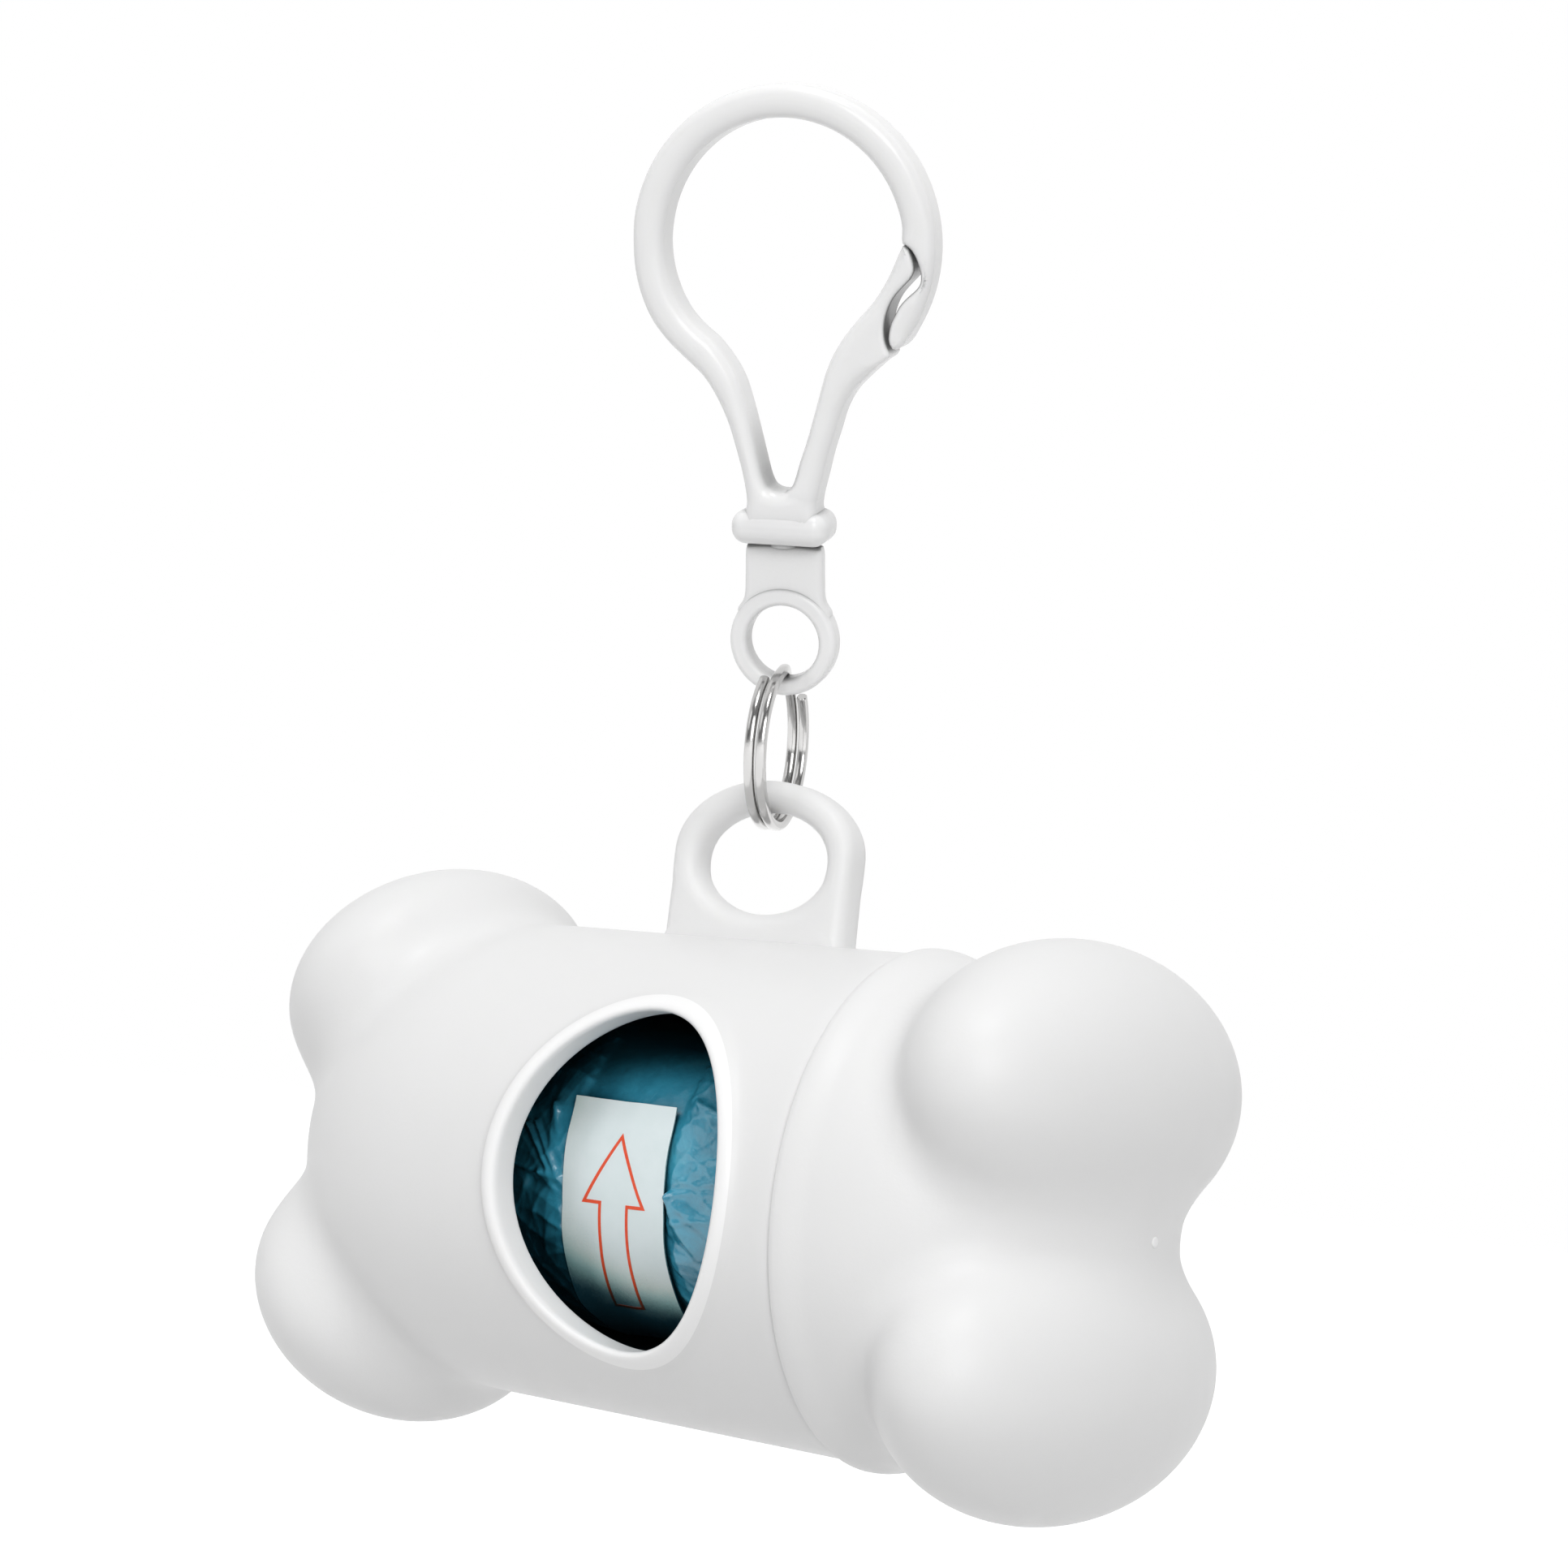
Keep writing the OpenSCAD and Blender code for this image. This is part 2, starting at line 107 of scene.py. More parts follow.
def build_mesh(name, verts, faces, smooth=True, drop_loose=True):
    """A mesh from points in millimetres, with its faces turned outwards."""
    mesh = bpy.data.meshes.new(name)
    mesh.from_pydata([tuple(v) for v in np.asarray(verts) * MM], [], [tuple(f) for f in faces])
    bm = bmesh.new()
    bm.from_mesh(mesh)
    if drop_loose:
        bmesh.ops.delete(bm, geom=[v for v in bm.verts if not v.link_faces], context="VERTS")
    bmesh.ops.recalc_face_normals(bm, faces=bm.faces)
    for face in bm.faces:
        face.smooth = smooth
    bm.to_mesh(mesh)
    bm.free()
    return mesh


def place_piece(mesh, place, body, material, blended=None):
    """A piece in the place's frame that rides on a CAD body, or, when blended is given, rides on none."""
    mesh.transform(place)
    mesh.materials.append(material)
    piece = add_object(mesh.name, mesh)
    if blended:
        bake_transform(piece)
    else:
        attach(piece, body)
    return piece


def add_piece(name, verts, faces, body, material, place=IN_CASE, smooth=True):
    return place_piece(build_mesh(name, verts, faces, smooth), place, body, material)


def strip(a, b, n):
    """Quads between two closed rows of n points, which start at a and at b."""
    return [(a + j, a + (j + 1) % n, b + (j + 1) % n, b + j) for j in range(n)]


def grid_faces(rows, cols, start=0):
    """Quads between closed rows of points."""
    return [f for i in range(rows - 1) for f in strip(start + i * cols, start + (i + 1) * cols, cols)]


def fan(start, tip, n=AROUND):
    """Triangles from a closed row of n points to its tip."""
    return [(start + j, start + (j + 1) % n, tip) for j in range(n)]


def lids(rows, n):
    """The two flat ends of a column of closed rows."""
    return [tuple(range(n))[::-1], tuple(range((rows - 1) * n, rows * n))]


def unit(rows):
    return rows / np.linalg.norm(rows, axis=1)[:, None]


# ---- smooth shapes

def ellipsoid(p, middle, half, tilt):
    """About the distance from points to an ellipsoid tilted in the case's X-Z plane."""
    q = p - np.array([middle[0], 0, middle[1]])
    c, s = math.cos(tilt), math.sin(tilt)
    x, y, z = q[..., 0] * c + q[..., 2] * s, q[..., 1], q[..., 2] * c - q[..., 0] * s
    k0 = np.sqrt((x / half[0]) ** 2 + (y / half[1]) ** 2 + (z / half[2]) ** 2) + 1e-9
    k1 = np.sqrt((x / half[0] ** 2) ** 2 + (y / half[1] ** 2) ** 2 + (z / half[2] ** 2) ** 2) + 1e-9
    return k0 * (k0 - 1) / k1


def soft_min(a, b, k):
    h = np.maximum(k - np.abs(a - b), 0) / k
    return np.minimum(a, b) - h * h * k / 4


def end_shape(p, e):
    """About the distance to one bone end: two lobes and the dome between them, blended."""
    side = e["side"]
    upper = ellipsoid(p, (side * e["x"], e["z"]), e["half"], side * e["tilt"])
    lower = ellipsoid(p, (side * e["x"], -e["z"]), e["half"], -side * e["tilt"])
    along = np.maximum(side * p[..., 0] - e["dome_x"], 0) / e["reach"]
    across = np.hypot(p[..., 1], p[..., 2]) / e["r"]
    dome = ((along ** e["fullness"] + across ** e["fullness"]) ** (1 / e["fullness"]) - 1) * e["r"]
    return soft_min(soft_min(upper, lower, e["pair_blend"]), dome, e["core_blend"])


def cast(origin, way, e):
    """Distance along each ray, from inside outwards, at which it leaves the bone end."""
    near = np.zeros(way.shape[:-1])
    reach = np.full(way.shape[:-1], END_FAR)
    for _ in range(HALVINGS):
        mid = (near + reach) / 2
        inside = end_shape(origin + way * mid[..., None], e) < 0
        near = np.where(inside, mid, near)
        reach = np.where(inside, reach, mid)
    return (near + reach) / 2


def angles(n=AROUND):
    return np.arange(n) * 2 * math.pi / n


def ring_points(x, r, n=AROUND):
    """A ring about the case's axis that starts at the window's side."""
    t = angles(n)
    return np.stack([np.full(n, x), -r * np.cos(t), r * np.sin(t)], -1)


def end_rows(e, xs):
    """Rows of points over a bone end: straight out from the axis at xs, then round its middle."""
    side = e["side"]
    t = angles()
    rows = []

    def hit(x, way):
        origin = np.array([x, 0.0, 0.0])
        return origin + way * cast(origin, way, e)[:, None]

    for x in xs:
        rows.append(hit(x, np.stack([0 * t, -np.cos(t), np.sin(t)], -1)))
    middle = side * e["middle"]
    for i in range(1, END_ROWS):
        up = math.pi / 2 * i / END_ROWS
        way = [np.full(AROUND, side * math.sin(up)), -math.cos(up) * np.cos(t), math.cos(up) * np.sin(t)]
        rows.append(hit(middle, np.stack(way, -1)))
    return rows, hit(middle, np.array([[side, 0.0, 0.0]]))[0]


# ---- materials

def set_sockets(node, *values):
    for socket, value in values:
        node.inputs[socket].default_value = value


def new_material(name, base, roughness, sockets=()):
    material = bpy.data.materials.new(name)
    material.use_nodes = True
    shader = material.node_tree.nodes["Principled BSDF"]
    set_sockets(shader, ("Base Color", (*base, 1)), ("Roughness", roughness), *sockets)
    return material, material.node_tree, shader


def noise(tree, scale, detail=2.0, roughness=0.5, distortion=0.0):
    node = tree.nodes.new("ShaderNodeTexNoise")
    set_sockets(node, ("Scale", scale), ("Detail", detail), ("Roughness", roughness),
                ("Distortion", distortion))
    tree.links.new(tree.nodes.new("ShaderNodeTexCoord").outputs["Object"], node.inputs["Vector"])
    return node.outputs["Fac"]


def bump(tree, shader, height, strength, distance, normal=None):
    node = tree.nodes.new("ShaderNodeBump")
    set_sockets(node, ("Strength", strength), ("Distance", distance))
    tree.links.new(height, node.inputs["Height"])
    if normal is not None:
        tree.links.new(normal, node.inputs["Normal"])
    tree.links.new(node.outputs["Normal"], shader.inputs["Normal"])
    return node.outputs["Normal"]


def ramp(tree, factor, *stops):
    node = tree.nodes.new("ShaderNodeValToRGB")
    while len(node.color_ramp.elements) < len(stops):
        node.color_ramp.elements.new(0.5)
    for element, (position, color) in zip(node.color_ramp.elements, stops):
        element.position = position
        element.color = (*color, 1) if len(color) == 3 else (color[0], color[0], color[0], 1)
    tree.links.new(factor, node.inputs["Fac"])
    return node.outputs["Color"]


# Painted shade, as rows of how open the surroundings are and the colour left there
# The film's painted shade: near black where the case closes over it
FILM_PAINTED_SHADE = ((0.19, (0.1,)), (0.26, (0.4,)), (0.34, (1.0,)))
WINDOW_SHADE_REACH = 40
# The band's and the print's painted shade: through pale yellow and teal, the teal a painted reflection of the
# film, to near black
PAPER_PAINTED_SHADE = ((0.14, (0.01, 0.08, 0.12)), (0.215, (0.12, 0.6, 0.84)), (0.275, (0.8, 0.95, 0.74)),
               (0.335, (0.96, 0.98, 0.83)), (0.41, (1.0, 1.0, 1.0)))
# The hook's painted shade, as under the collar and in the crotch
HOOK_PAINTED_SHADE = ((0.5, (0.3,)), (0.86, (1.0,)))
HOOK_SHADE_REACH = 6


def paint_occlusion_shade(tree, shader, color, reach, stops):
    """Paints shade into a colour: darkens it where solids within reach, in millimetres, close over it."""
    shade = tree.nodes.new("ShaderNodeAmbientOcclusion")
    shade.samples = 8
    shade.inputs["Distance"].default_value = reach * MM
    level = ramp(tree, shade.outputs["AO"], *stops)
    mix = tree.nodes.new("ShaderNodeMix")
    mix.data_type = "RGBA"
    mix.blend_type = "MULTIPLY"
    mix.inputs["Factor"].default_value = 1.0
    tree.links.new(color, mix.inputs[6])
    tree.links.new(level, mix.inputs[7])
    tree.links.new(mix.outputs[2], shader.inputs["Base Color"])


def moulded_plastic(name, base, roughness, grain=0.05, depth=None):
    """White moulded plastic: a fine orange peel, a slow waviness and uneven gloss, and painted shade in its
    recesses when depth is given.
    """
    material, tree, shader = new_material(name, base, roughness, (
        ("Specular IOR Level", 0.45), ("Subsurface Weight", 0.12),
        ("Subsurface Radius", (0.002, 0.002, 0.0018)), ("Subsurface Scale", 0.6)))
    peel = bump(tree, shader, noise(tree, 2600, 2, 0.6), grain, 0.0002)
    bump(tree, shader, noise(tree, 90, 1, 0.4), 0.05, 0.0006, peel)
    gloss = ramp(tree, noise(tree, 400, 3, 0.6), (0.3, (roughness - 0.04,)), (0.7, (roughness + 0.04,)))
    tree.links.new(gloss, shader.inputs["Roughness"])
    mottled = ramp(tree, noise(tree, 35, 2, 0.5), (0.3, tuple(c * 0.985 for c in base)), (0.7, base))
    if depth:
        # Painted shade in the part's own recesses
        paint_occlusion_shade(tree, shader, mottled, HOOK_SHADE_REACH, depth)
    else:
        tree.links.new(mottled, shader.inputs["Base Color"])
    return material


def nickel():
    material, tree, shader = new_material("ring_nickel", (0.56, 0.555, 0.55), 0.16, [("Metallic", 1.0)])
    bump(tree, shader, noise(tree, 5200, 3, 0.7), 0.08, 0.00004)
    gloss = ramp(tree, noise(tree, 900, 3, 0.6), (0.3, (0.1,)), (0.75, (0.24,)))
    tree.links.new(gloss, shader.inputs["Roughness"])
    return material


def inside_painted_shade():
    """A near-black colour painted on the case's inside, as the shade that the window leaves there."""
    material, tree, shader = new_material("inside_painted_shade", (0.02, 0.04, 0.05), 0.55)
    bump(tree, shader, noise(tree, 1800, 2), 0.05, 0.0002)
    return material


def bag_film():
    material, tree, shader = new_material("bag_film", (0.03, 0.22, 0.32), 0.22, (
        ("Specular IOR Level", 0.6), ("Coat Weight", 0.9), ("Coat Roughness", 0.07)))
    mottled = ramp(tree, noise(tree, 260, 4, 0.6, 0.6), (0.25, (0.02, 0.2, 0.31)),
                   (0.6, (0.045, 0.34, 0.5)), (0.8, (0.09, 0.45, 0.6)))
    # Painted shade: the film darkens to near black deep in the case
    paint_occlusion_shade(tree, shader, mottled, WINDOW_SHADE_REACH, FILM_PAINTED_SHADE)
    bump(tree, shader, noise(tree, 1500, 4, 0.65, 1.2), 0.25, 0.0003)
    return material


def band_paper():
    material, tree, shader = new_material("band_paper", (0.78, 0.87, 0.88), 0.62)
    bump(tree, shader, noise(tree, 3000, 4, 0.7), 0.12, 0.00008)
    mottled = ramp(tree, noise(tree, 500, 3), (0.3, (0.76, 0.855, 0.865)), (0.7, (0.8, 0.885, 0.9)))
    # Painted shade, tinted teal as a painted reflection of the film, where the case closes over the band
    paint_occlusion_shade(tree, shader, mottled, WINDOW_SHADE_REACH, PAPER_PAINTED_SHADE)
    return material


def red_print():
    material, tree, shader = new_material("red_print", (0.86, 0.09, 0.03), 0.5)
    mottled = ramp(tree, noise(tree, 2500, 3), (0.3, (0.82, 0.08, 0.025)), (0.7, (0.9, 0.1, 0.035)))
    # The print takes the band's painted shade
    paint_occlusion_shade(tree, shader, mottled, WINDOW_SHADE_REACH, PAPER_PAINTED_SHADE)
    return material


def core_card():
    material, tree, shader = new_material("core_card", (0.42, 0.3, 0.18), 0.85)
    bump(tree, shader, noise(tree, 1600, 4, 0.7), 0.3, 0.0002)
    mottled = ramp(tree, noise(tree, 700, 4, 0.6), (0.3, (0.36, 0.26, 0.16)), (0.7, (0.48, 0.36, 0.23)))
    tree.links.new(mottled, shader.inputs["Base Color"])
    return material


SHELL = moulded_plastic("shell_plastic", (0.83, 0.83, 0.83), 0.42)
# Painted light: a brighter copy of the shell's plastic, on the window's lip and cut wall and on the cap's
# gate mark
PAINTED_LIGHT_PLASTIC = moulded_plastic("painted_light_plastic", (0.96, 0.96, 0.96), 0.34, 0.02)
# The hook's plastic has painted shade in its recesses, as on the plate under the collar
HOOK = moulded_plastic("hook_plastic", (0.91, 0.91, 0.91), 0.2, 0.02, HOOK_PAINTED_SHADE)
NICKEL, INSIDE_PAINTED_SHADE, FILM, PAPER, PRINT, CARD = (
    make() for make in (nickel, inside_painted_shade, bag_film, band_paper, red_print, core_card))


# ---- case with its window

def case_shell():
    """The tube, its window and the closed bone end, as one closed shell."""
    hole_x, hole_cells, half_turn, mouth_flare = (16.2, -12.6), 38, 60, 0.2
    end_step, bore_end, room_reach, room_rows = 0.55, -19, 18.0, 16
    # The painted dark shade inside keeps this far from the mouth and from the outer surface
    painted_shade_slot, painted_light_slot, from_mouth, from_surface = 1, 2, 1.2, 0.5
    side_cells = AROUND * half_turn // 360
    step = (hole_x[0] - hole_x[1]) / hole_cells
    xs = [MOUTH_X, MOUTH_X - RIM, MOUTH_X - 0.7]
    hole_row = len(xs)
    xs += [hole_x[0] - i * step for i in range(hole_cells + 1)]
    hole_end = len(xs) - 1
    end_x = -CLOSED_END["middle"]
    while xs[-1] > end_x + 0.3:
        xs.append(xs[-1] - end_step)
    xs[-1] = end_x
    outer, tip = end_rows(CLOSED_END, xs)
    outer[0] = ring_points(MOUTH_X, TUBE_R - RIM)
    outer[1] = ring_points(MOUTH_X - RIM / 3, TUBE_R - RIM / 3.4)
    outer[2] = ring_points(MOUTH_X - RIM, TUBE_R)
    inner_xs = [x for x in xs if x > bore_end]
    inner = [ring_points(x, BORE_R) for x in inner_xs]
    inner[0] = ring_points(MOUTH_X, BORE_R + mouth_flare)
    room_x = inner_xs[-1]
    for i in range(1, room_rows):
        t = math.pi / 2 * i / room_rows
        inner.append(ring_points(room_x - room_reach * math.sin(t), BORE_R * math.cos(t)))
    verts = np.concatenate(outer + [tip[None]] + inner + [np.array([[room_x - room_reach, 0, 0]])])
    in_start = len(outer) * AROUND + 1

    def is_open(row, col):
        return hole_row <= row < hole_end and min(col, AROUND - 1 - col) < side_cells

    def wall(rows, start):
        return [f for f in grid_faces(rows, AROUND, start) if not is_open(*divmod(f[0] - start, AROUND))]

    faces = wall(len(outer), 0) + fan((len(outer) - 1) * AROUND, in_start - 1) + strip(0, in_start, AROUND)
    inside = wall(len(inner), in_start) + fan(in_start + (len(inner) - 1) * AROUND, len(verts) - 1)

    # The cells round the window, in order, with the same places on the outside and the inside
    path = [(hole_row, j) for j in range(-side_cells, side_cells)]
    path += [(i, side_cells) for i in range(hole_row, hole_end)]
    path += [(hole_end, j) for j in range(side_cells, -side_cells, -1)]
    path += [(i, -side_cells) for i in range(hole_end, hole_row, -1)]
    border_out = [i * AROUND + j % AROUND for i, j in path]
    border_in = [in_start + k for k in border_out]
    edge = verts[border_out][:, [0, 2]]
    aim = np.arctan2(edge[:, 1] / WINDOW_B, (edge[:, 0] - WINDOW_X) / WINDOW_A)
    oval = np.stack([WINDOW_X + WINDOW_A * np.cos(aim), WINDOW_B * np.sin(aim)], -1)
    out = unit(np.stack([np.cos(aim) / WINDOW_A, np.sin(aim) / WINDOW_B], -1))

    def on_tube(flat, r):
        return np.stack([flat[:, 0], -np.sqrt(r * r - flat[:, 1] ** 2), flat[:, 1]], -1)

    # Across the lip: distance from the window's edge, height above the tube
    lip = [(3.1, 0.0), (2.5, 0.012), (2.1, 0.05), (1.8, 0.13), (1.58, 0.26), (1.38, 0.42), (1.17, 0.57),
           (0.93, 0.68), (0.68, 0.72), (0.45, 0.69), (0.25, 0.58), (0.1, 0.4), (0.02, 0.18), (0.0, -0.1),
           (0.0, -0.9), (0.0, -1.6), (0.03, -1.86), (0.15, -2.0)]
    last_flat, inner_flat = oval + out * lip[0][0], oval + out * lip[-1][0]
    inside_edge = verts[border_in][:, [0, 2]]
    outer_shares, inner_shares = (0.25, 0.5, 0.75), (0.33, 0.66)
    rings = [on_tube(edge + (last_flat - edge) * share, TUBE_R) for share in outer_shares]
    rings += [on_tube(oval + out * away, TUBE_R + up) for away, up in lip]
    rings += [on_tube(inner_flat + (inside_edge - inner_flat) * share, BORE_R) for share in inner_shares]
    lip_from, inside_from = 9, len(outer_shares) + len(lip)
    lip_faces = []
    n = len(path)
    border = border_out
    for i in range(len(rings) + 1):
        new = [len(verts) + i * n + k for k in range(n)] if i < len(rings) else border_in
        quads = [(border[k], border[(k + 1) % n], new[(k + 1) % n], new[k]) for k in range(n)]
        if i >= inside_from:
            inside += quads
        elif i >= lip_from:
            lip_faces += quads
        else:
            faces += quads
        border = new
    piece = add_piece("case_shell", np.concatenate([verts] + rings), faces + lip_faces + inside, "case",
                      SHELL)
    for material in (INSIDE_PAINTED_SHADE, PAINTED_LIGHT_PLASTIC):
        piece.data.materials.append(material)
    for polygon in piece.data.polygons:
        # Painted light: the lip and the window's cut wall take the brighter plastic
        if len(faces) <= polygon.index < len(faces) + len(lip_faces):
            polygon.material_index = painted_light_slot
            continue
        middle = (polygon.center - CASE_AT) / MM
        in_bore = math.hypot(middle.y, middle.z) < BORE_R + 0.02
        # Painted shade: deep in the bore the faces take the near-black colour
        if in_bore and middle.x < MOUTH_X - from_mouth:
            if abs(end_shape(np.array([list(middle)]), CLOSED_END)[0]) > from_surface:
                polygon.material_index = painted_shade_slot
    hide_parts("case_body")


def hanging_tab():
    """The flat arched tab with an oval hole and well rounded edges."""
    half_t, width, arch, straight_top, foot_z = 1.8, 17.8, 6.0, 27.4, 18.8
    hole_a, hole_b, hole_z = 6.5, 4.3, 26.5
    edge_out, edge_in, edge_room, foot_fade = 1.25, 1.5, 2.85, 1.2
    n, arc_steps, far_off = 160, 6, 30.0

    def outline(aim):
        """Where a ray from the hole's middle meets the tab's outline."""
        dx, dz = math.cos(aim), math.sin(aim)
        lo, hi = 0.0, far_off
        for _ in range(HALVINGS):
            mid = (lo + hi) / 2
            x, z = dx * mid, hole_z + dz * mid
            if z > straight_top:
                inside = (x / (width / 2)) ** 2 + ((z - straight_top) / arch) ** 2 < 1
            else:
                inside = abs(x) < width / 2 and z > foot_z
            lo, hi = (mid, hi) if inside else (lo, mid)
        return np.array([dx * lo, hole_z + dz * lo])

    verts = []
    arc = [math.pi / 2 * i / arc_steps for i in range(arc_steps + 1)]
    corner_aims = [math.atan2(foot_z - hole_z, side * width / 2) for side in (-1, 1)]
    aims = sorted([2 * math.pi * i / n - math.pi for i in range(n)] + corner_aims)
    for aim in aims:
        far = outline(aim)
        way = np.array([math.cos(aim) / hole_a, math.sin(aim) / hole_b])
        near = np.array([0, hole_z]) + np.array([math.cos(aim), math.sin(aim)]) / np.linalg.norm(way)
        span = np.linalg.norm(far - near)
        toward = (far - near) / span
        fit = min(1, span / edge_room)
        r_in, r_out = edge_in * fit, edge_out * fit * min(max((far[1] - foot_z) / foot_fade, 0.05), 1)
        loop = [(r_in * (1 - math.cos(t)), -(half_t - r_in) - r_in * math.sin(t)) for t in arc]
        loop += [(span - r_out * (1 - math.sin(t)), -(half_t - r_out) - r_out * math.cos(t)) for t in arc]
        loop += [(u, -y) for u, y in reversed(loop)]
        for u, y in loop:
            flat = near + toward * u
            verts.append((flat[0], y, flat[1]))
    m = 4 * len(arc)
    faces = grid_faces(len(aims), m) + strip((len(aims) - 1) * m, 0, m)
    add_piece("hanging_tab", verts, faces, "case", SHELL)


# ---- pull-off cap

def end_cap():
    """The pull-off bone end: rim, waist, lobes, and the plug that enters the tube."""
    row_step, flared_rows, flare, flare_from, flare_l, seam_edge = 0.3, 16, 0.42, 0.7, 2.3, 0.35
    plug_x = WINDOW_X + WINDOW_A + 0.6
    plug_r, plug_bore, plug_edge = 17.95, 16.45, 0.3
    room_x, room_end, room_rows = 23.7, 36.0, 14
    spindle_r, spindle_tip = 4.42, 24.0
    xs = [SEAM_X, SEAM_X + 0.08, SEAM_X + row_step]
    while xs[-1] < CAP_END["middle"] - row_step:
        xs.append(xs[-1] + row_step)
    xs[-1] = CAP_END["middle"]
    outer, tip = end_rows(CAP_END, xs)
    for i, x in enumerate(xs[:flared_rows]):
        past = x - SEAM_X
        lift = flare * (0.5 + 0.5 * math.cos(math.pi * min(max(past - flare_from, 0) / flare_l, 1)))
        edge = seam_edge - math.sqrt(max(seam_edge ** 2 - max(seam_edge - past, 0) ** 2, 0))
        radial = np.hypot(outer[i][:, 1], outer[i][:, 2])
        outer[i][:, 1:] *= ((radial + lift - edge) / radial)[:, None]
    profile = [(SEAM_X, 19.6), (SEAM_X, plug_r), (plug_x + plug_edge, plug_r), (plug_x, plug_r - plug_edge),
               (plug_x, plug_bore + 0.1), (plug_x + 0.1, plug_bore)]
    profile += [(room_x + (room_end - room_x) * math.sin(t), plug_bore * math.cos(t))
                for t in np.linspace(0, math.pi / 2, room_rows)[:-1]]
    profile = [p for p in profile if p[1] > spindle_r]
    root_x = room_x + (room_end - room_x) * math.sqrt(1 - (spindle_r / plug_bore) ** 2)
    profile += [(root_x, spindle_r), (spindle_tip + 1, spindle_r), (spindle_tip, spindle_r - 1)]
    rings = [ring_points(x, r) for x, r in profile]
    verts = np.concatenate(outer + [tip[None]] + rings + [np.array([[spindle_tip, 0, 0]])])
    start = len(outer) * AROUND + 1
    faces = grid_faces(len(outer), AROUND) + fan((len(outer) - 1) * AROUND, start - 1)
    faces += strip(0, start, AROUND) + grid_faces(len(rings), AROUND, start)
    faces += fan(start + (len(rings) - 1) * AROUND, len(verts) - 1)
    piece = add_piece("cap_shell", verts, faces, "cap", SHELL)
    sharpen(piece, 40)
    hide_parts("end_cap")
    # The small mark that the mould's gate leaves at the tip
    mark_r, sunk, proud, sides = 0.42, 0.4, 0.14, 32
    profile = [(-sunk, mark_r), (proud - 0.08, mark_r), (proud - 0.02, mark_r - 0.06), (proud, mark_r - 0.16)]
    rings = [ring_points(tip[0] + x, r, sides) for x, r in profile]
    faces = grid_faces(len(rings), sides) + lids(len(rings), sides)
    # The mark takes the brighter plastic as painted light
    mark = add_piece("cap_gate_mark", np.concatenate(rings), faces, "cap", PAINTED_LIGHT_PLASTIC)
    sharpen(mark, 40)


def sharpen(piece, degrees):
    """Keeps edges sharper than an angle crisp, and the rest smooth."""
    bm = bmesh.new()
    bm.from_mesh(piece.data)
    for edge in bm.edges:
        if len(edge.link_faces) == 2 and edge.calc_face_angle(0) > math.radians(degrees):
            edge.smooth = False
    bm.to_mesh(piece.data)
    bm.free()


# ---- flat shapes with rounded edges

def smooth_loop(points, step):
    """A smooth closed curve through points, at about even steps."""
    p = np.array(points, float)
    n = len(p)
    out = []
    for i in range(n):
        a, b, c, d = p[i - 1], p[i], p[(i + 1) % n], p[(i + 2) % n]
        k1, k2, k3 = (max(np.linalg.norm(q - r), 1e-6) ** 0.5 for q, r in ((a, b), (b, c), (c, d)))
        m1 = (b - a) / k1 - (c - a) / (k1 + k2) + (c - b) / k2
        m2 = (c - b) / k2 - (d - b) / (k2 + k3) + (d - c) / k3
        m1, m2 = m1 * k2, m2 * k2
        count = max(1, round(np.linalg.norm(c - b) / step))
        for t in np.arange(count) / count:
            out.append((2 * t ** 3 - 3 * t ** 2 + 1) * b + (t ** 3 - 2 * t ** 2 + t) * m1
                       + (3 * t ** 2 - 2 * t ** 3) * c + (t ** 3 - t ** 2) * m2)
    return np.array(out)


AT_ONCE = 400
EDGE_ROWS = 7
EDGE_SHARES = [1 - math.cos(math.pi / 2 * k / EDGE_ROWS) for k in range(1, EDGE_ROWS + 1)]
PAST_EDGE = 1.25


def wall_depth(points, wall):
    """Each point's distance to a wall of [x, z, edge radius] rows, the way to it and the radius there."""
    a, b = wall, np.roll(wall, -1, 0)
    run = b[:, :2] - a[:, :2]
    length = np.maximum((run ** 2).sum(1), 1e-12)
    depth, way, edge = [], [], []
    for some in np.array_split(points, max(1, len(points) // AT_ONCE)):
        t = np.clip(((some[:, None] - a[None, :, :2]) * run).sum(2) / length, 0, 1)
        near = a[None, :, :2] + t[..., None] * run
        gap = np.linalg.norm(near - some[:, None], axis=2)
        best = gap.argmin(1)
        rows = np.arange(len(some))
        depth.append(gap[rows, best])
        way.append(near[rows, best] - some)
        edge.append(a[best, 2] + t[rows, best] * (b[best, 2] - a[best, 2]))
    return np.concatenate(depth), np.concatenate(way), np.concatenate(edge)


def is_inside(points, loop):
    """Which points lie inside a closed loop."""
    x, z = points[:, 0, None], points[:, 1, None]
    a, b = loop[:, :2], np.roll(loop[:, :2], -1, 0)
    crosses = (a[:, 1] > z) != (b[:, 1] > z)
    with np.errstate(divide="ignore", invalid="ignore"):
        at = a[:, 0] + (z - a[:, 1]) * (b[:, 0] - a[:, 0]) / (b[:, 1] - a[:, 1])
    return (crosses & (x < at)).sum(1) % 2 == 1


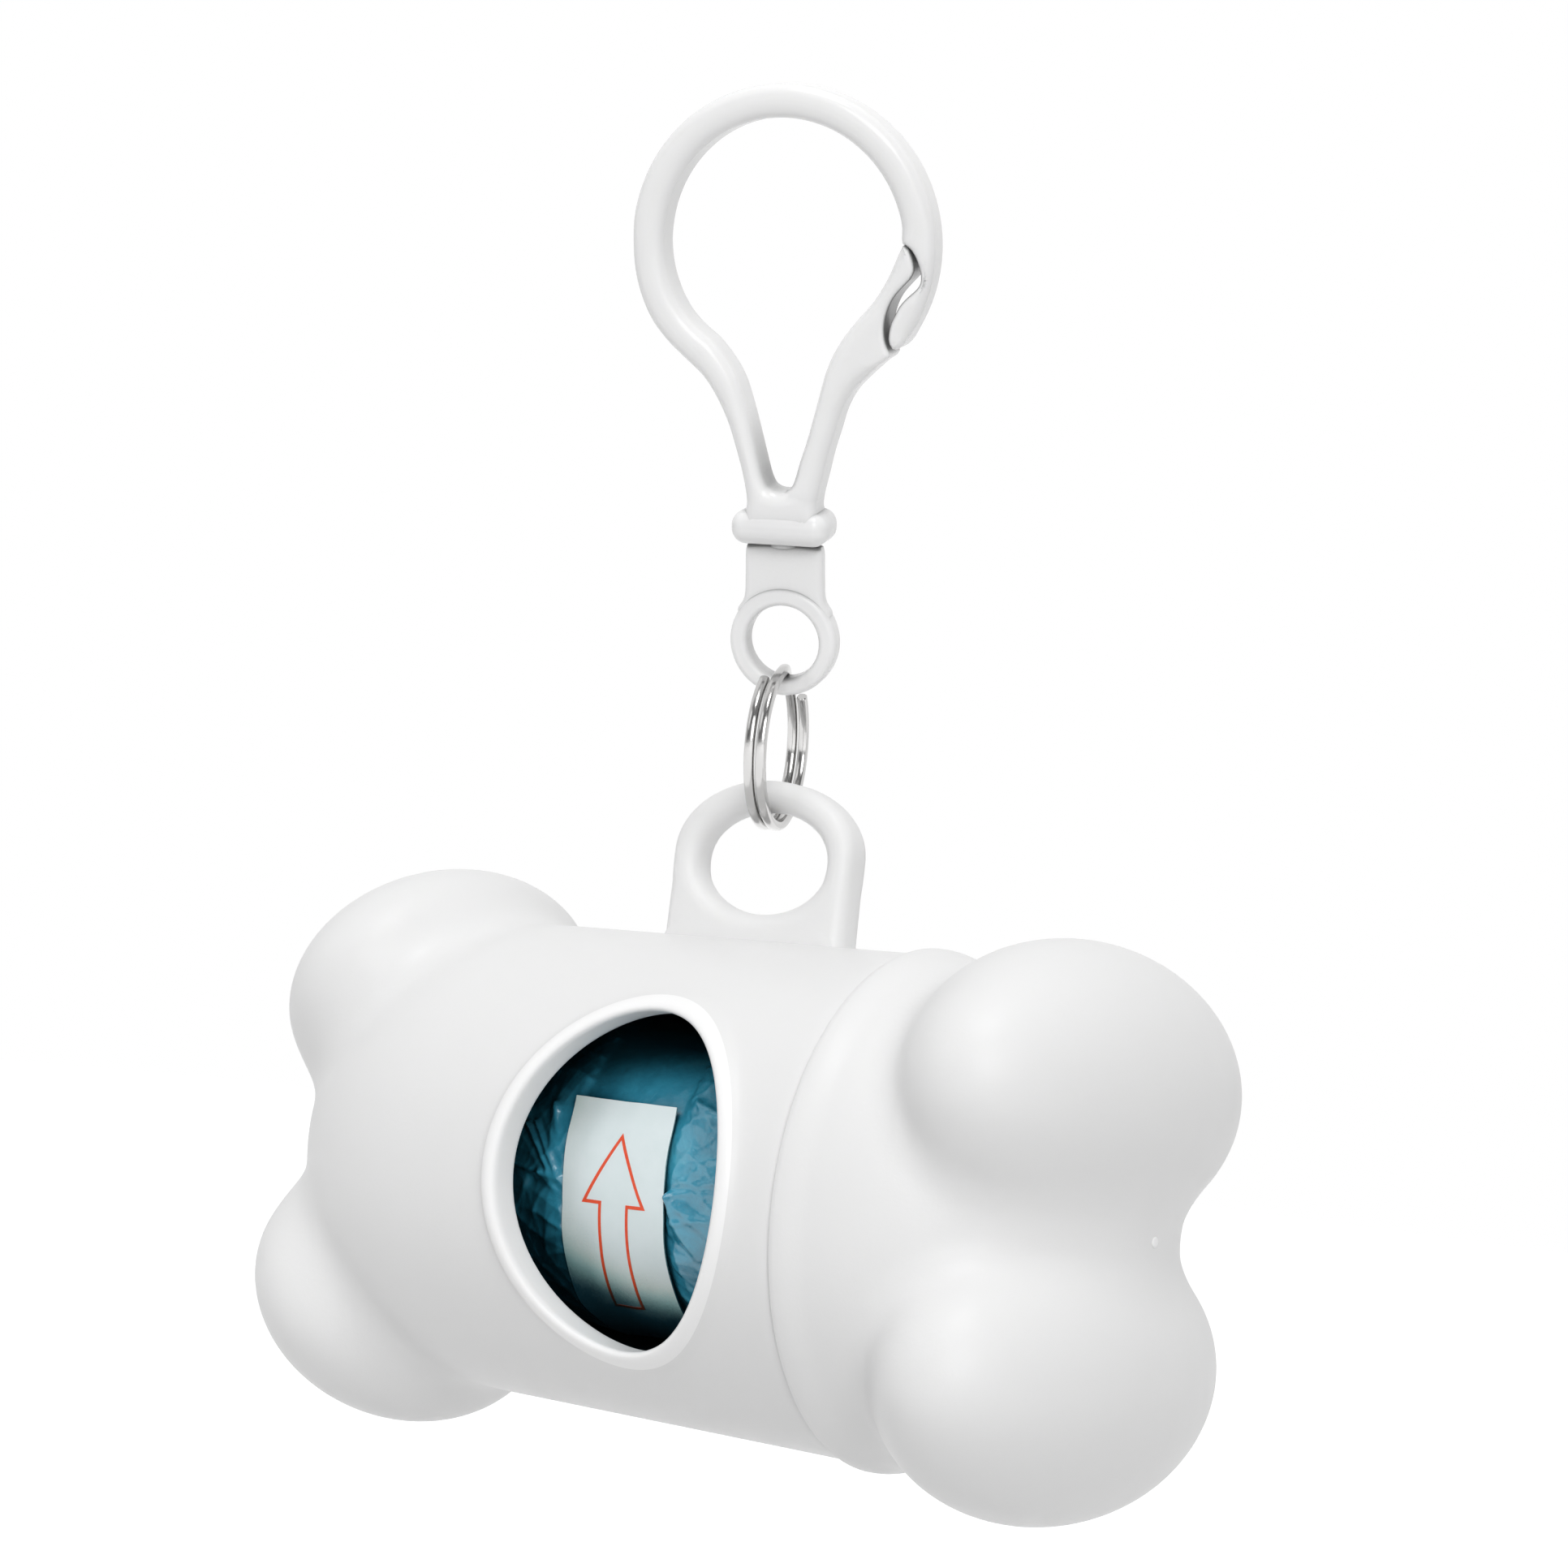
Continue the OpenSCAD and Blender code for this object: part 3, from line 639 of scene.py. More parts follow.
def rounded_slab(loop, wall, half, open_side=()):
    """The flat shape inside a loop, with the edges of its wall rounded; half(x, z) is its half thickness.

    The loop's points from open_side[0] to open_side[1] lie on a cut and not on the wall.
    """
    n = len(loop)
    spread, near_wall, edge_room = 0.7, 0.02, 0.3
    line, soft = loop[:, :2], loop[:, 2]
    tangent = unit(np.roll(line, -1, 0) - np.roll(line, 1, 0))
    area = (line[:, 0] * np.roll(line[:, 1], -1) - np.roll(line[:, 0], -1) * line[:, 1]).sum()
    inward = np.stack([-tangent[:, 1], tangent[:, 0]], -1) * (1 if area > 0 else -1)
    cut = np.zeros(n, bool)
    if open_side:
        cut[open_side[0] + 1:open_side[1]] = True
    extra = []
    for share in EDGE_SHARES[:-1] + [PAST_EDGE]:
        away = (line + inward * (soft * share)[:, None])[~cut]
        depth = wall_depth(away, wall)[0]
        keep = (np.abs(depth - soft[~cut] * share) < near_wall) & is_inside(away, loop)
        extra.append(away[keep])
    low, high = line.min(0), line.max(0)
    xs, zs = np.meshgrid(np.arange(low[0], high[0], spread), np.arange(low[1], high[1], spread))
    grid = np.stack([xs + (np.arange(xs.shape[0]) % 2)[:, None] * spread / 2, zs], -1).reshape(-1, 2)
    grid = grid[is_inside(grid, loop)]
    depth, _, edge = wall_depth(grid, wall)
    extra.append(grid[depth > edge * PAST_EDGE + edge_room])
    points = [Vector(p) for p in np.concatenate([line] + extra)]
    sides = [(i, (i + 1) % n) for i in range(n)]
    found = geometry.delaunay_2d_cdt(points, sides, [], 0, 1e-5, True)
    flat = np.array([list(v) for v in found[0]])
    tris = np.array([f for f in found[2] if len(f) == 3])
    tris = tris[is_inside(flat[tris].mean(1), loop)]
    place = {old: new for new, olds in enumerate(found[3]) for old in olds if old < n}
    depth, way, edge = wall_depth(flat, wall)
    border = np.array([place[i] for i in range(n)])
    on_wall = border[~cut]
    depth[on_wall] = 0
    share = np.clip(1 - depth / edge, 0, 1)
    rise = np.sqrt(1 - share ** 2)
    tall = half(flat[:, 0], flat[:, 1]) - edge * (1 - rise)
    way /= np.maximum(np.linalg.norm(way, axis=1), 1e-9)[:, None]
    way[on_wall] = -inward[~cut]
    front = np.stack([flat[:, 0], -tall, flat[:, 1]], -1)
    back = np.stack([flat[:, 0], tall, flat[:, 1]], -1)
    normal = np.stack([way[:, 0] * share, -rise, way[:, 1] * share], -1)
    behind = normal * (1, -1, 1)
    m = len(flat)
    faces = [tuple(t) for t in tris] + [tuple(t + m)[::-1] for t in tris]
    faces += [(border[i], border[(i + 1) % n], border[(i + 1) % n] + m, border[i] + m) for i in range(n)]
    return np.concatenate([front, back]), faces, np.concatenate([normal, behind])


def pill(middle, half, r):
    """A box whose edges and corners are all rounded by r."""
    verts, normals = [], []
    core = np.array(half) - r
    sides = 32
    ups = sorted(set(np.linspace(-90, 90, sides // 2 + 1)) | {-0.01, 0.01})
    for up in ups:
        for j in range(sides):
            a, b = math.radians(up), math.radians(360 * (j + 0.5) / sides)
            way = np.array([math.cos(a) * math.cos(b), math.cos(a) * math.sin(b), math.sin(a)])
            side = np.array([np.sign(way[0]), np.sign(way[1]), 1 if up > 0 else -1])
            verts.append(np.array(middle) + side * core + way * r)
            normals.append(way)
    faces = grid_faces(len(ups), sides) + lids(len(ups), sides)
    return np.array(verts), faces, np.array(normals)


def add_shaped(name, parts, body, material, blended=None):
    """A piece in the hook's frame from parts of (verts, faces, normals), which keeps those normals."""
    faces, start = [], 0
    for part in parts:
        faces += [tuple(int(i) + start for i in f) for f in part[1]]
        start += len(part[0])
    mesh = build_mesh(name, np.concatenate([part[0] for part in parts]), faces, drop_loose=False)
    mesh.normals_split_custom_set_from_vertices([tuple(v) for part in parts for v in part[2]])
    return place_piece(mesh, IN_HOOK, body, material, blended)


# ---- hook with its gate

LOOP_R = 10.0
BAR_W = 2.6
HOOK_T = 4.2
LOOP_Z = -10.0


def by_loop(r, turn):
    """The point at a radius and an angle about the loop's middle."""
    return (r * math.cos(math.radians(turn)), LOOP_Z + r * math.sin(math.radians(turn)))


def hook_wall():
    """The hook's outline as smooth rows of [x, z, edge radius]."""
    outer = [by_loop(LOOP_R + BAR_W, turn) for turn in range(172, -33, -8)]
    left = [(-3.4, -33.2), (-3.36, -32.2), (-3.05, -31.5), (-2.95, -30.8), (-3.26, -28.78), (-3.84, -26.57),
            (-4.53, -24.38), (-5.45, -22.42), (-6.6, -20.7), (-8.22, -19.22), (-9.6, -17.96), (-10.95, -16.3),
            (-11.88, -14.31), (-12.45, -11.9)]
    nose = [by_loop(r, turn) for r, turn in (
        (12.58, -36.5), (12.42, -39.2), (12.1, -39.9), (11.72, -39.5), (11.4, -38.2), (11.05, -35.4),
        (10.82, -32), (10.76, -28), (10.77, -24.5), (10.96, -21), (11.26, -18), (11.62, -15), (11.78, -12.5),
        (11.72, -10), (11.5, -7), (11.1, -2.9), (10.62, 0.6), (10.28, 1.5), (10.02, 3))]
    inner = [by_loop(LOOP_R, turn) for turn in range(11, 172, 8)]
    leg = [(-10.02, -9.9), (-9.88, -11.68), (-9.32, -13.64), (-8.4, -15.37), (-7.24, -16.66),
           (-5.84, -17.82), (-4.68, -19.22), (-3.75, -20.74), (-3.0, -22.94), (-2.34, -25.37),
           (-1.72, -27.81), (-1.38, -28.95), (-0.98, -29.62), (-0.35, -29.86)]
    crotch = [(0.3, -29.82), (0.86, -29.42), (1.18, -28.7)]
    gate_in = [(1.52, -27.5), (2.17, -25.5), (3.06, -22.26), (3.61, -20.25), (4.16, -18.8), (5.05, -17.25),
               (6.16, -15.8), (7.48, -14.3), (8.24, -13.2), (8.99, -11.8), (9.5, -10.6), (9.84, -9.86)]
    gate_tip = [(10.12, -9.62), (10.4, -9.72), (10.68, -10.2), (10.94, -10.95), (11.0, -11.6),
                (10.72, -12.2), (10.18, -12.78), (9.38, -13.72), (8.92, -14.64), (8.66, -15.72),
                (8.66, -16.79), (8.86, -17.6), (9.06, -18.05), (9.1, -18.3), (8.92, -18.6), (8.3, -19.05)]
    gate_out = [(7.29, -20.02), (5.94, -21.42), (5.05, -23.01), (4.49, -24.81), (3.93, -26.62),
                (3.49, -28.44), (3.0, -30.5), (2.95, -31.3), (3.2, -32.1), (3.25, -33.2)]
    # Each stretch with the radius of its edges
    stretches = ((left + outer, 1.0), (nose, 0.5), (inner + leg + crotch + gate_in, 1.0), (gate_tip, 0.42),
                 (gate_out, 1.0))
    return smooth_loop([(x, z, edge) for points, edge in stretches for x, z in points], 0.3)


def hook():
    """The moulded hook: loop, leg, neck and collar, and the springy leaf that is its gate."""
    wall = hook_wall()
    foot_z, foot_l, foot_grow = -31.0, 1.1, 0.3
    crotch_z, crotch_half, cut_z = -29.5, 0.6, -30.35
    collar_at, collar_half, collar_edge = (-0.1, 0, -32.9), (4.1, 2.55, 1.4), 1.25
    root, root_end = (1.9, 0, -30.4), (3.1, 0, -25.4)

    def thick(x, z):
        return HOOK_T / 2 + foot_grow * np.clip((foot_z - z) / foot_l, 0, 1) ** 2

    # The leaf is cut off across its root, from the crotch to where its outer side passes cut_z
    crotch = next(i for i, p in enumerate(wall) if abs(p[0]) < crotch_half and p[1] < crotch_z)
    start = next(i for i in range(crotch, len(wall)) if wall[i, 0] > 0.1)
    end = next(i for i, p in enumerate(wall) if p[0] > 2 and p[1] < cut_z)
    a, b = wall[start], wall[end]
    ends = [s / np.linalg.norm(b[:2] - a[:2]) for s in EDGE_SHARES]
    shares = ends + [0.5] + [1 - s for s in reversed(ends)]
    across = np.array([a + (b - a) * s for s in shares])
    body_loop = np.concatenate([wall[:start + 1], across, wall[end:]])
    leaf_loop = np.concatenate([wall[start:end + 1], across[::-1]])
    body = rounded_slab(body_loop, wall, thick, (start, start + len(across) + 1))
    leaf = rounded_slab(leaf_loop, wall, thick, (end - start, len(leaf_loop)))
    parts = [body, pill(collar_at, collar_half, collar_edge)]
    piece = add_shaped("hook_moulding", parts, "hook", HOOK)
    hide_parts("hook_body")
    bend_from, bend_to = (IN_HOOK @ (Vector(p) * MM) for p in (root, root_end))
    gate = add_shaped("gate_leaf", [leaf], "gate", HOOK, ("hook", "gate", bend_from, bend_to))
    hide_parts("hook_gate")


# ---- swivel eye and split ring

def swivel_eye():
    """The eye below the swivel: a proud ring, a plate set back behind it, and the swivel's post."""
    eye_z, hole_r, rim_r, rim_half, corner = -42.65, 3.1, 4.58, 1.1, 0.5
    plate_top, plate_w, plate_half, plate_edge = -34.55, 3.26, 0.8, 0.42
    post_r, head_r, head_foot, head_top = 1.3, 1.8, -33.52, -32.5
    around, post_sides = 144, 40
    out_r, in_r, up_y = rim_r - corner, hole_r + corner, rim_half - corner
    section = []
    corners = ((out_r, -up_y, -90), (out_r, up_y, 0), (in_r, up_y, 90), (in_r, -up_y, 180))
    for middle_r, middle_y, turn in corners:
        for t in np.radians(np.arange(turn, turn + 91, 15)):
            c, s = math.cos(t), math.sin(t)
            section.append((middle_r + corner * c, middle_y + corner * s, c, s))
    verts, normals = [], []
    for t in angles(around):
        c, s = math.cos(t), math.sin(t)
        verts += [(r * c, y, eye_z + r * s) for r, y, nr, ny in section]
        normals += [(nr * c, ny, nr * s) for r, y, nr, ny in section]
    m = len(section)
    rim = (np.array(verts), grid_faces(around, m) + strip((around - 1) * m, 0, m), np.array(normals))
    # The plate's sides flare into the ring, and its foot follows the ring's middle
    inside_r = (hole_r + rim_r) / 2
    meet_z = eye_z + rim_r * math.cos(math.asin(plate_w / rim_r))
    foot = [(inside_r * math.sin(a), eye_z + inside_r * math.cos(a)) for a in np.linspace(-1.15, 1.15, 13)]
    side_out = [(plate_w + 0.05, plate_top - 2.6), (plate_w + 0.18, meet_z + 0.35),
                (plate_w + 0.75, meet_z - 0.75)]
    top = [(-plate_w + 0.1, plate_top), (plate_w - 0.1, plate_top)]
    points = [(-x, z) for x, z in reversed(side_out)] + [(-plate_w, plate_top - 0.35)] + top
    points += [(plate_w, plate_top - 0.35)] + side_out + foot[::-1]
    loop = smooth_loop([(x, z, plate_edge) for x, z in points], 0.25)
    plate = rounded_slab(loop, loop, lambda x, z: plate_half + 0 * x)
    post = ring_column([(post_r, plate_top - 0.04), (post_r, head_foot), (head_r, head_foot),
                        (head_r, head_top - 0.12), (head_r - 0.2, head_top)], post_sides)
    piece = add_shaped("swivel_eye_moulding", [rim, plate, post], "eye", HOOK)
    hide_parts("swivel_eye")


def ring_column(profile, around):
    """A closed solid of revolution about Z from (radius, z) rows."""
    t, n = angles(around), len(profile)
    way = np.stack([np.cos(t), np.sin(t), 0 * t], -1)
    verts = np.concatenate([way * r + (0, 0, z) for r, z in profile])
    return verts, grid_faces(n, around) + lids(n, around), np.tile(way, (n, 1))


def split_ring():
    """Two turns of squarish polished wire, which jogs across from one to the other."""
    wire, mid, pitch, gap, jog, bevelled = 0.85, 6.575, 0.98, 80.0, 60.0, 0.1
    turns, steps, sides, power = 2, 420, 20, 2.9
    sweep = turns * 360 - gap
    centre = Vector(JOINTS["case_swing"]["pos_m"]) + UP * mid * MM
    verts = []

    def row(turn, size):
        t = min(max((turn - sweep / 2) / jog + 0.5, 0), 1)
        shift = pitch * (t * t * (3 - 2 * t) - 0.5)
        at = math.radians(turn + 90 + gap / 2)
        for j in range(sides):
            q = 2 * math.pi * (j + 0.5) / sides
            u, v = math.cos(q), math.sin(q)
            k = (abs(u) ** power + abs(v) ** power) ** (-1 / power) * size * wire / 2
            r = mid + u * k
            verts.append((shift + v * k, r * math.cos(at), r * math.sin(at)))

    bevel = math.degrees(bevelled / mid)
    row(0, 0.8)
    for i in range(steps + 1):
        row(bevel + (sweep - 2 * bevel) * i / steps, 1.0)
    row(sweep, 0.8)
    rows = steps + 3
    faces = grid_faces(rows, sides) + lids(rows, sides)
    place = axes(HOOK_X, UP.cross(HOOK_X), UP)
    place.translation = centre
    piece = add_piece("ring_wire", verts, faces, "ring", NICKEL, place)
    sharpen(piece, 30)
    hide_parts("split_ring")


# ---- roll of bags, its band and its print

ROLL_R = 13.1
ROLL_HALF = 30.0
# Overall crinkles: how often along x and along the arc, where they start, how they bend, and their height
CRINKLES = ((0.55, 0.35, 0.4, 1.3, 0.16), (0.22, 0.9, 2.1, 1.1, 0.12), (0.95, -0.5, 4.4, 1.6, 0.1),
            (1.3, 0.8, 1.2, 1.2, 0.07), (0.7, 1.9, 3.3, 0.9, 0.05), (2.3, -0.9, 5.1, 1.4, 0.035))
# Single ridges, and grooves where the height is negative: from and to (x, degrees), width, height
CREASES = (
    # Left of the band
    ((-11.7, 13.4), (-8.8, -1.0), 0.26, 0.6), ((-11.0, 14.5), (-8.2, -0.6), 0.2, 0.45),
    ((-12.6, -0.6), (-9.6, -2.8), 0.3, 0.5), ((-9.6, -2.8), (-7.2, -4.2), 0.35, 0.35),
    ((-10.6, -6), (-7.4, -9), 0.6, -0.3),
    # Right of the band, where they spread from one gathered spot
    ((3.0, -2.6), (8.1, 0.4), 0.3, -0.42), ((3.1, -4.4), (7.6, 13.5), 0.5, 0.3),
    ((3.1, -4.4), (8.1, 2.4), 0.32, 0.36), ((3.1, -4.4), (7.4, -17.9), 0.5, 0.42),
    ((3.1, -6.4), (6.3, -30.1), 0.45, 0.42), ((3.4, -20.2), (6.6, -28.3), 0.5, -0.4),
    ((3.0, -14), (8.6, -10), 0.3, 0.2),
    # Above the band
    ((-7.0, 33), (-6.3, 26.4), 0.35, 0.35), ((-1.3, 37), (-1.6, 28.6), 0.4, 0.4),
    ((1.8, 34), (1.7, 28.6), 0.3, 0.35), ((-9.4, 21.5), (-8.6, 12.5), 0.35, 0.4),
    ((4.0, 28), (9.5, 21), 0.35, 0.35), ((-4.4, 38), (-4.0, 29), 0.3, 0.3))


def crease(u, v, a, b, width, height):
    """One ridge on the film, which fades from a to b."""
    k = math.radians(1) * ROLL_R
    a, b = np.array([a[0], a[1] * k]), np.array([b[0], b[1] * k])
    run = b - a
    t = np.clip(((u - a[0]) * run[0] + (v - a[1]) * run[1]) / (run @ run), 0, 1)
    gap = np.hypot(u - a[0] - t * run[0], v - a[1] - t * run[1])
    return height * np.exp(-(gap / width) ** 2) * (1 - 0.55 * t)


def film_height(u, v):
    """Crinkles of the wound film, in millimetres, at x and at the arc above the window's middle."""
    h = 0 * u
    for k, (along, around, phase, wave, size) in enumerate(CRINKLES):
        bend = wave * np.sin(0.33 * v - 0.21 * u + k) + 0.6 * np.sin(0.8 * u + 0.5 * v + 2 * k)
        h += size * (1 - np.abs(np.sin(along * u + around * v + phase + bend))) ** 2.2
    for one in CREASES:
        h += crease(u, v, *one)
    # The band draws the film in, and it swells beside it
    band_x, band_half, swell, swell_at, swell_w = -2.1, 5.6, 0.3, 6.6, 1.5
    off_band = np.abs(u - band_x)
    snug = 1 / (1 + np.exp(-np.clip(1 - off_band / band_half, 0, 1) * 40 + 3.2))
    h = h * (1 - 0.93 * snug) - 0.02 * snug
    h += swell * np.exp(-((off_band - swell_at) / swell_w) ** 2) * (1 - snug)
    # The ends of the roll are wound tight
    end_l = 3
    return h * np.clip((ROLL_HALF - np.abs(u)) / end_l, 0, 1)


def on_roll(u, turn, r):
    """Points at x, at an angle above the window's middle and at a radius."""
    return np.stack([u + 0 * turn, -r * np.cos(turn), r * np.sin(turn)], -1)


def film_roll():
    """The wound bags, finely crinkled where the window shows them, with a hole for the card tube."""
    rims, seen_x, seen_turn, full_turn, crinkled, sunk = (12.4, 9.8, 7.4, 5.43), (-14, 15), 75, 110, 0.9, 0.1
    xs = np.concatenate([np.arange(-ROLL_HALF, seen_x[0], 0.9), np.arange(*seen_x, 0.15),
                         np.arange(seen_x[1] + 0.1, ROLL_HALF, 0.9), [ROLL_HALF]])
    turns = np.radians(np.concatenate([np.arange(-seen_turn, seen_turn, 0.62),
                                       np.arange(seen_turn, 360 - seen_turn, 3.0)]))
    u, t = np.meshgrid(xs, turns, indexing="ij")
    v = np.where(t > math.pi, t - 2 * math.pi, t) * ROLL_R
    fade = np.clip((np.radians(full_turn) * ROLL_R - np.abs(v)) / 6, 0.25, 1)
    layers = [on_roll(u, t, ROLL_R + film_height(u, v) * fade * crinkled - sunk).reshape(-1, 3)]
    cols = len(turns)
    layers += [on_roll(np.full(cols, x), turns, r) for x in (-ROLL_HALF, ROLL_HALF) for r in rims]
    n = len(rims)
    left = len(xs) * cols
    right = left + n * cols
    faces = grid_faces(len(xs), cols) + strip(0, left, cols) + grid_faces(n, cols, left)
    faces += strip(left - cols, right, cols) + grid_faces(n, cols, right)
    faces += strip(right - cols, right + (n - 1) * cols, cols)
    piece = add_piece("film_roll", np.concatenate(layers), faces, "roll", FILM)
    sharpen(piece, 55)
    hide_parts("bag_roll")


BAND_R = 13.3
BAND_T = 0.13
BAND_TOP = 25.0
BAND_END = -240.0


def band_edges(turn):
    """The band's two edges at an angle in degrees: its wraps lie a little askew."""
    at = (-240, -120, -62, -53, -33, -13, 1, 25)
    left = np.interp(turn, at, (-7.4, -7.6, -7.75, -7.9, -7.5, -7.1, -7.15, -7.45))
    right = np.interp(turn, at, (2.8, 2.8, 2.75, 2.75, 2.85, 3.0, 2.9, 2.55))
    return left, right


def band_rise(u, turn):
    """How far the paper stands off: it waves a little, and its free end lifts."""
    lift, lifted = 0.28, 9
    wave = 0.035 * np.sin(u * 0.9 + turn * 0.05) + 0.02 * np.sin(u * 2.1 - turn * 0.12)
    return lift * max(0.0, 1 - (BAND_TOP - turn) / lifted) ** 2 + wave


def paper_band():
    """A paper strip round the roll, whose free end lifts a little."""
    fine_end, cells, curl = -80, 22, 0.1
    turns = np.concatenate([np.arange(BAND_TOP, fine_end, -0.8), np.arange(fine_end, BAND_END - 1, -3.0)])
    verts = []
    for turn in turns:
        u = np.linspace(*band_edges(turn), cells)
        edge_lift = curl * np.abs(np.linspace(-1, 1, cells)) ** 6 * (0.6 + 0.4 * math.sin(turn * 0.21))
        r = BAND_R + band_rise(u, turn) + edge_lift
        t = np.full(cells, math.radians(turn))
        verts.append(np.concatenate([on_roll(u, t, r + BAND_T), on_roll(u[::-1], t, r[::-1])]))
    m = 2 * cells
    verts = np.concatenate(verts)
    faces = grid_faces(len(turns), m) + lids(len(turns), m)
    piece = add_piece("band_strip", verts, faces, "roll", PAPER)
    sharpen(piece, 40)
    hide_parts("paper_band")


def printed_arrow():
    """The band's plain outlined arrow, printed as thin lines that follow the paper."""
    width, proud, sunk, step = 0.27, 0.03, 0.008, 0.4
    k = math.radians(1) * BAND_R
    path = [(-4.16, -51.6), (-3.78, -38), (-3.47, -24), (-3.29, -9.9), (-4.88, -9.96), (-1.95, 13.0),
            (0.94, -9.97), (-0.66, -10.2), (-0.85, -24), (-1.02, -38), (-1.3, -50.8)]
    flat = np.array([(u, turn * k) for u, turn in path])
    before, after = flat - np.roll(flat, 1, 0), np.roll(flat, -1, 0) - flat
    n1, n2 = (np.stack([-way[:, 1], way[:, 0]], -1) for way in (unit(before), unit(after)))
    mitre = (n1 + n2) / (1 + (n1 * n2).sum(1))[:, None]
    left, right = flat + mitre * width / 2, flat - mitre * width / 2
    rows = []
    for i in range(len(flat)):
        j = (i + 1) % len(flat)
        count = max(1, round(np.linalg.norm(flat[j] - flat[i]) / step))
        for share in np.arange(count) / count:
            rows.append((left[i] + (left[j] - left[i]) * share, right[i] + (right[j] - right[i]) * share))
    verts = []
    for a, b in rows:
        for (u, arc), up in ((a, 0.0), (a, proud), (b, proud), (b, 0.0)):
            r = BAND_R + BAND_T + band_rise(u, arc / k) - sunk + up
            verts.append(on_roll(u, math.radians(arc / k), r))
    faces = grid_faces(len(rows), 4) + strip(4 * (len(rows) - 1), 0, 4)
    add_piece("arrow_print", verts, faces, "roll", PRINT, smooth=False)


def card_core():
    """The card tube that the bags are wound on, with its wound plies showing at the ends."""
    around, inner, outer = 72, 4.5, 5.4
    seam, seam_half, seam_depth, out_edge, in_edge = (inner + outer) / 2, 0.06, 0.07, 0.08, 0.05
    end = ((out_edge, outer), (0, outer - out_edge), (0, seam + seam_half), (seam_depth, seam),
           (0, seam - seam_half), (0, inner + in_edge), (in_edge, inner))
    profile = [(ROLL_HALF - x, r) for x, r in end] + [(x - ROLL_HALF, r) for x, r in reversed(end)]
    n = len(profile)
    verts = np.concatenate([ring_points(x, r, around) for x, r in profile])
    faces = grid_faces(n, around) + strip((n - 1) * around, 0, around)
    piece = add_piece("card_tube", verts, faces, "roll", CARD)
    sharpen(piece, 40)
    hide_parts("roll_core")


case_shell()
hanging_tab()
end_cap()
hook()
swivel_eye()
split_ring()
film_roll()
paper_band()
printed_arrow()
card_core()


# ---- camera, floor and light

def camera():
    """The photograph's view, set at an offset from the case."""
    focal_px, photo_px, sensor = 3400, 1932, 36
    from_case = Vector((130.19, -189.17, 9.68)) * MM
    data = bpy.data.cameras.new("camera")
    data.sensor_width = sensor
    data.lens = focal_px / photo_px * sensor
    data.clip_start = 0.005
    data.clip_end = 20
    eye = add_object("camera", data)
    right = Vector((0.8265, 0.5519, 0.1106)).normalized()
    back = Vector((0.5619, -0.8209, -0.1023))
    back = (back - right * back.dot(right)).normalized()
    turn = axes(right, back.cross(right), back)
    eye.matrix_world = Matrix.Translation(CASE_AT + from_case) @ turn
    bpy.context.scene.camera = eye


def area_light(name, way, size, power):
    """A square soft lamp that looks at the middle of the part from a way off."""
    place = MIDDLE + Vector(way)
    data = bpy.data.lights.new(name, "AREA")
    data.shape = "RECTANGLE"
    data.size = data.size_y = size
    data.energy = power
    lamp = add_object(name, data)
    lamp.location = place
    lamp.rotation_euler = (MIDDLE - place).to_track_quat("-Z", "Y").to_euler()


def greater(tree, a, b):
    node = tree.nodes.new("ShaderNodeMath")
    node.operation = "MAXIMUM"
    tree.links.new(a, node.inputs[0])
    tree.links.new(b, node.inputs[1])
    return node.outputs["Value"]


def see_through(tree, plain, shown):
    """The shown shader to the camera, reflections and refractions, and the plain one elsewhere."""
    path = tree.nodes.new("ShaderNodeLightPath").outputs
    total = greater(tree, path["Is Camera Ray"], path["Is Glossy Ray"])
    total = greater(tree, total, path["Is Transmission Ray"])
    mix = tree.nodes.new("ShaderNodeMixShader")
    tree.links.new(total, mix.inputs["Fac"])
    tree.links.new(plain, mix.inputs[1])
    tree.links.new(shown, mix.inputs[2])
    return mix.outputs["Shader"]


SKY_SIDE = 0.38
SKY_TOP = 0.76
FLOOR_Z = -0.15
FLOOR_HALF = 2
FLOOR_GLOW = 0.75
MIDDLE = CASE_AT + UP * 0.02


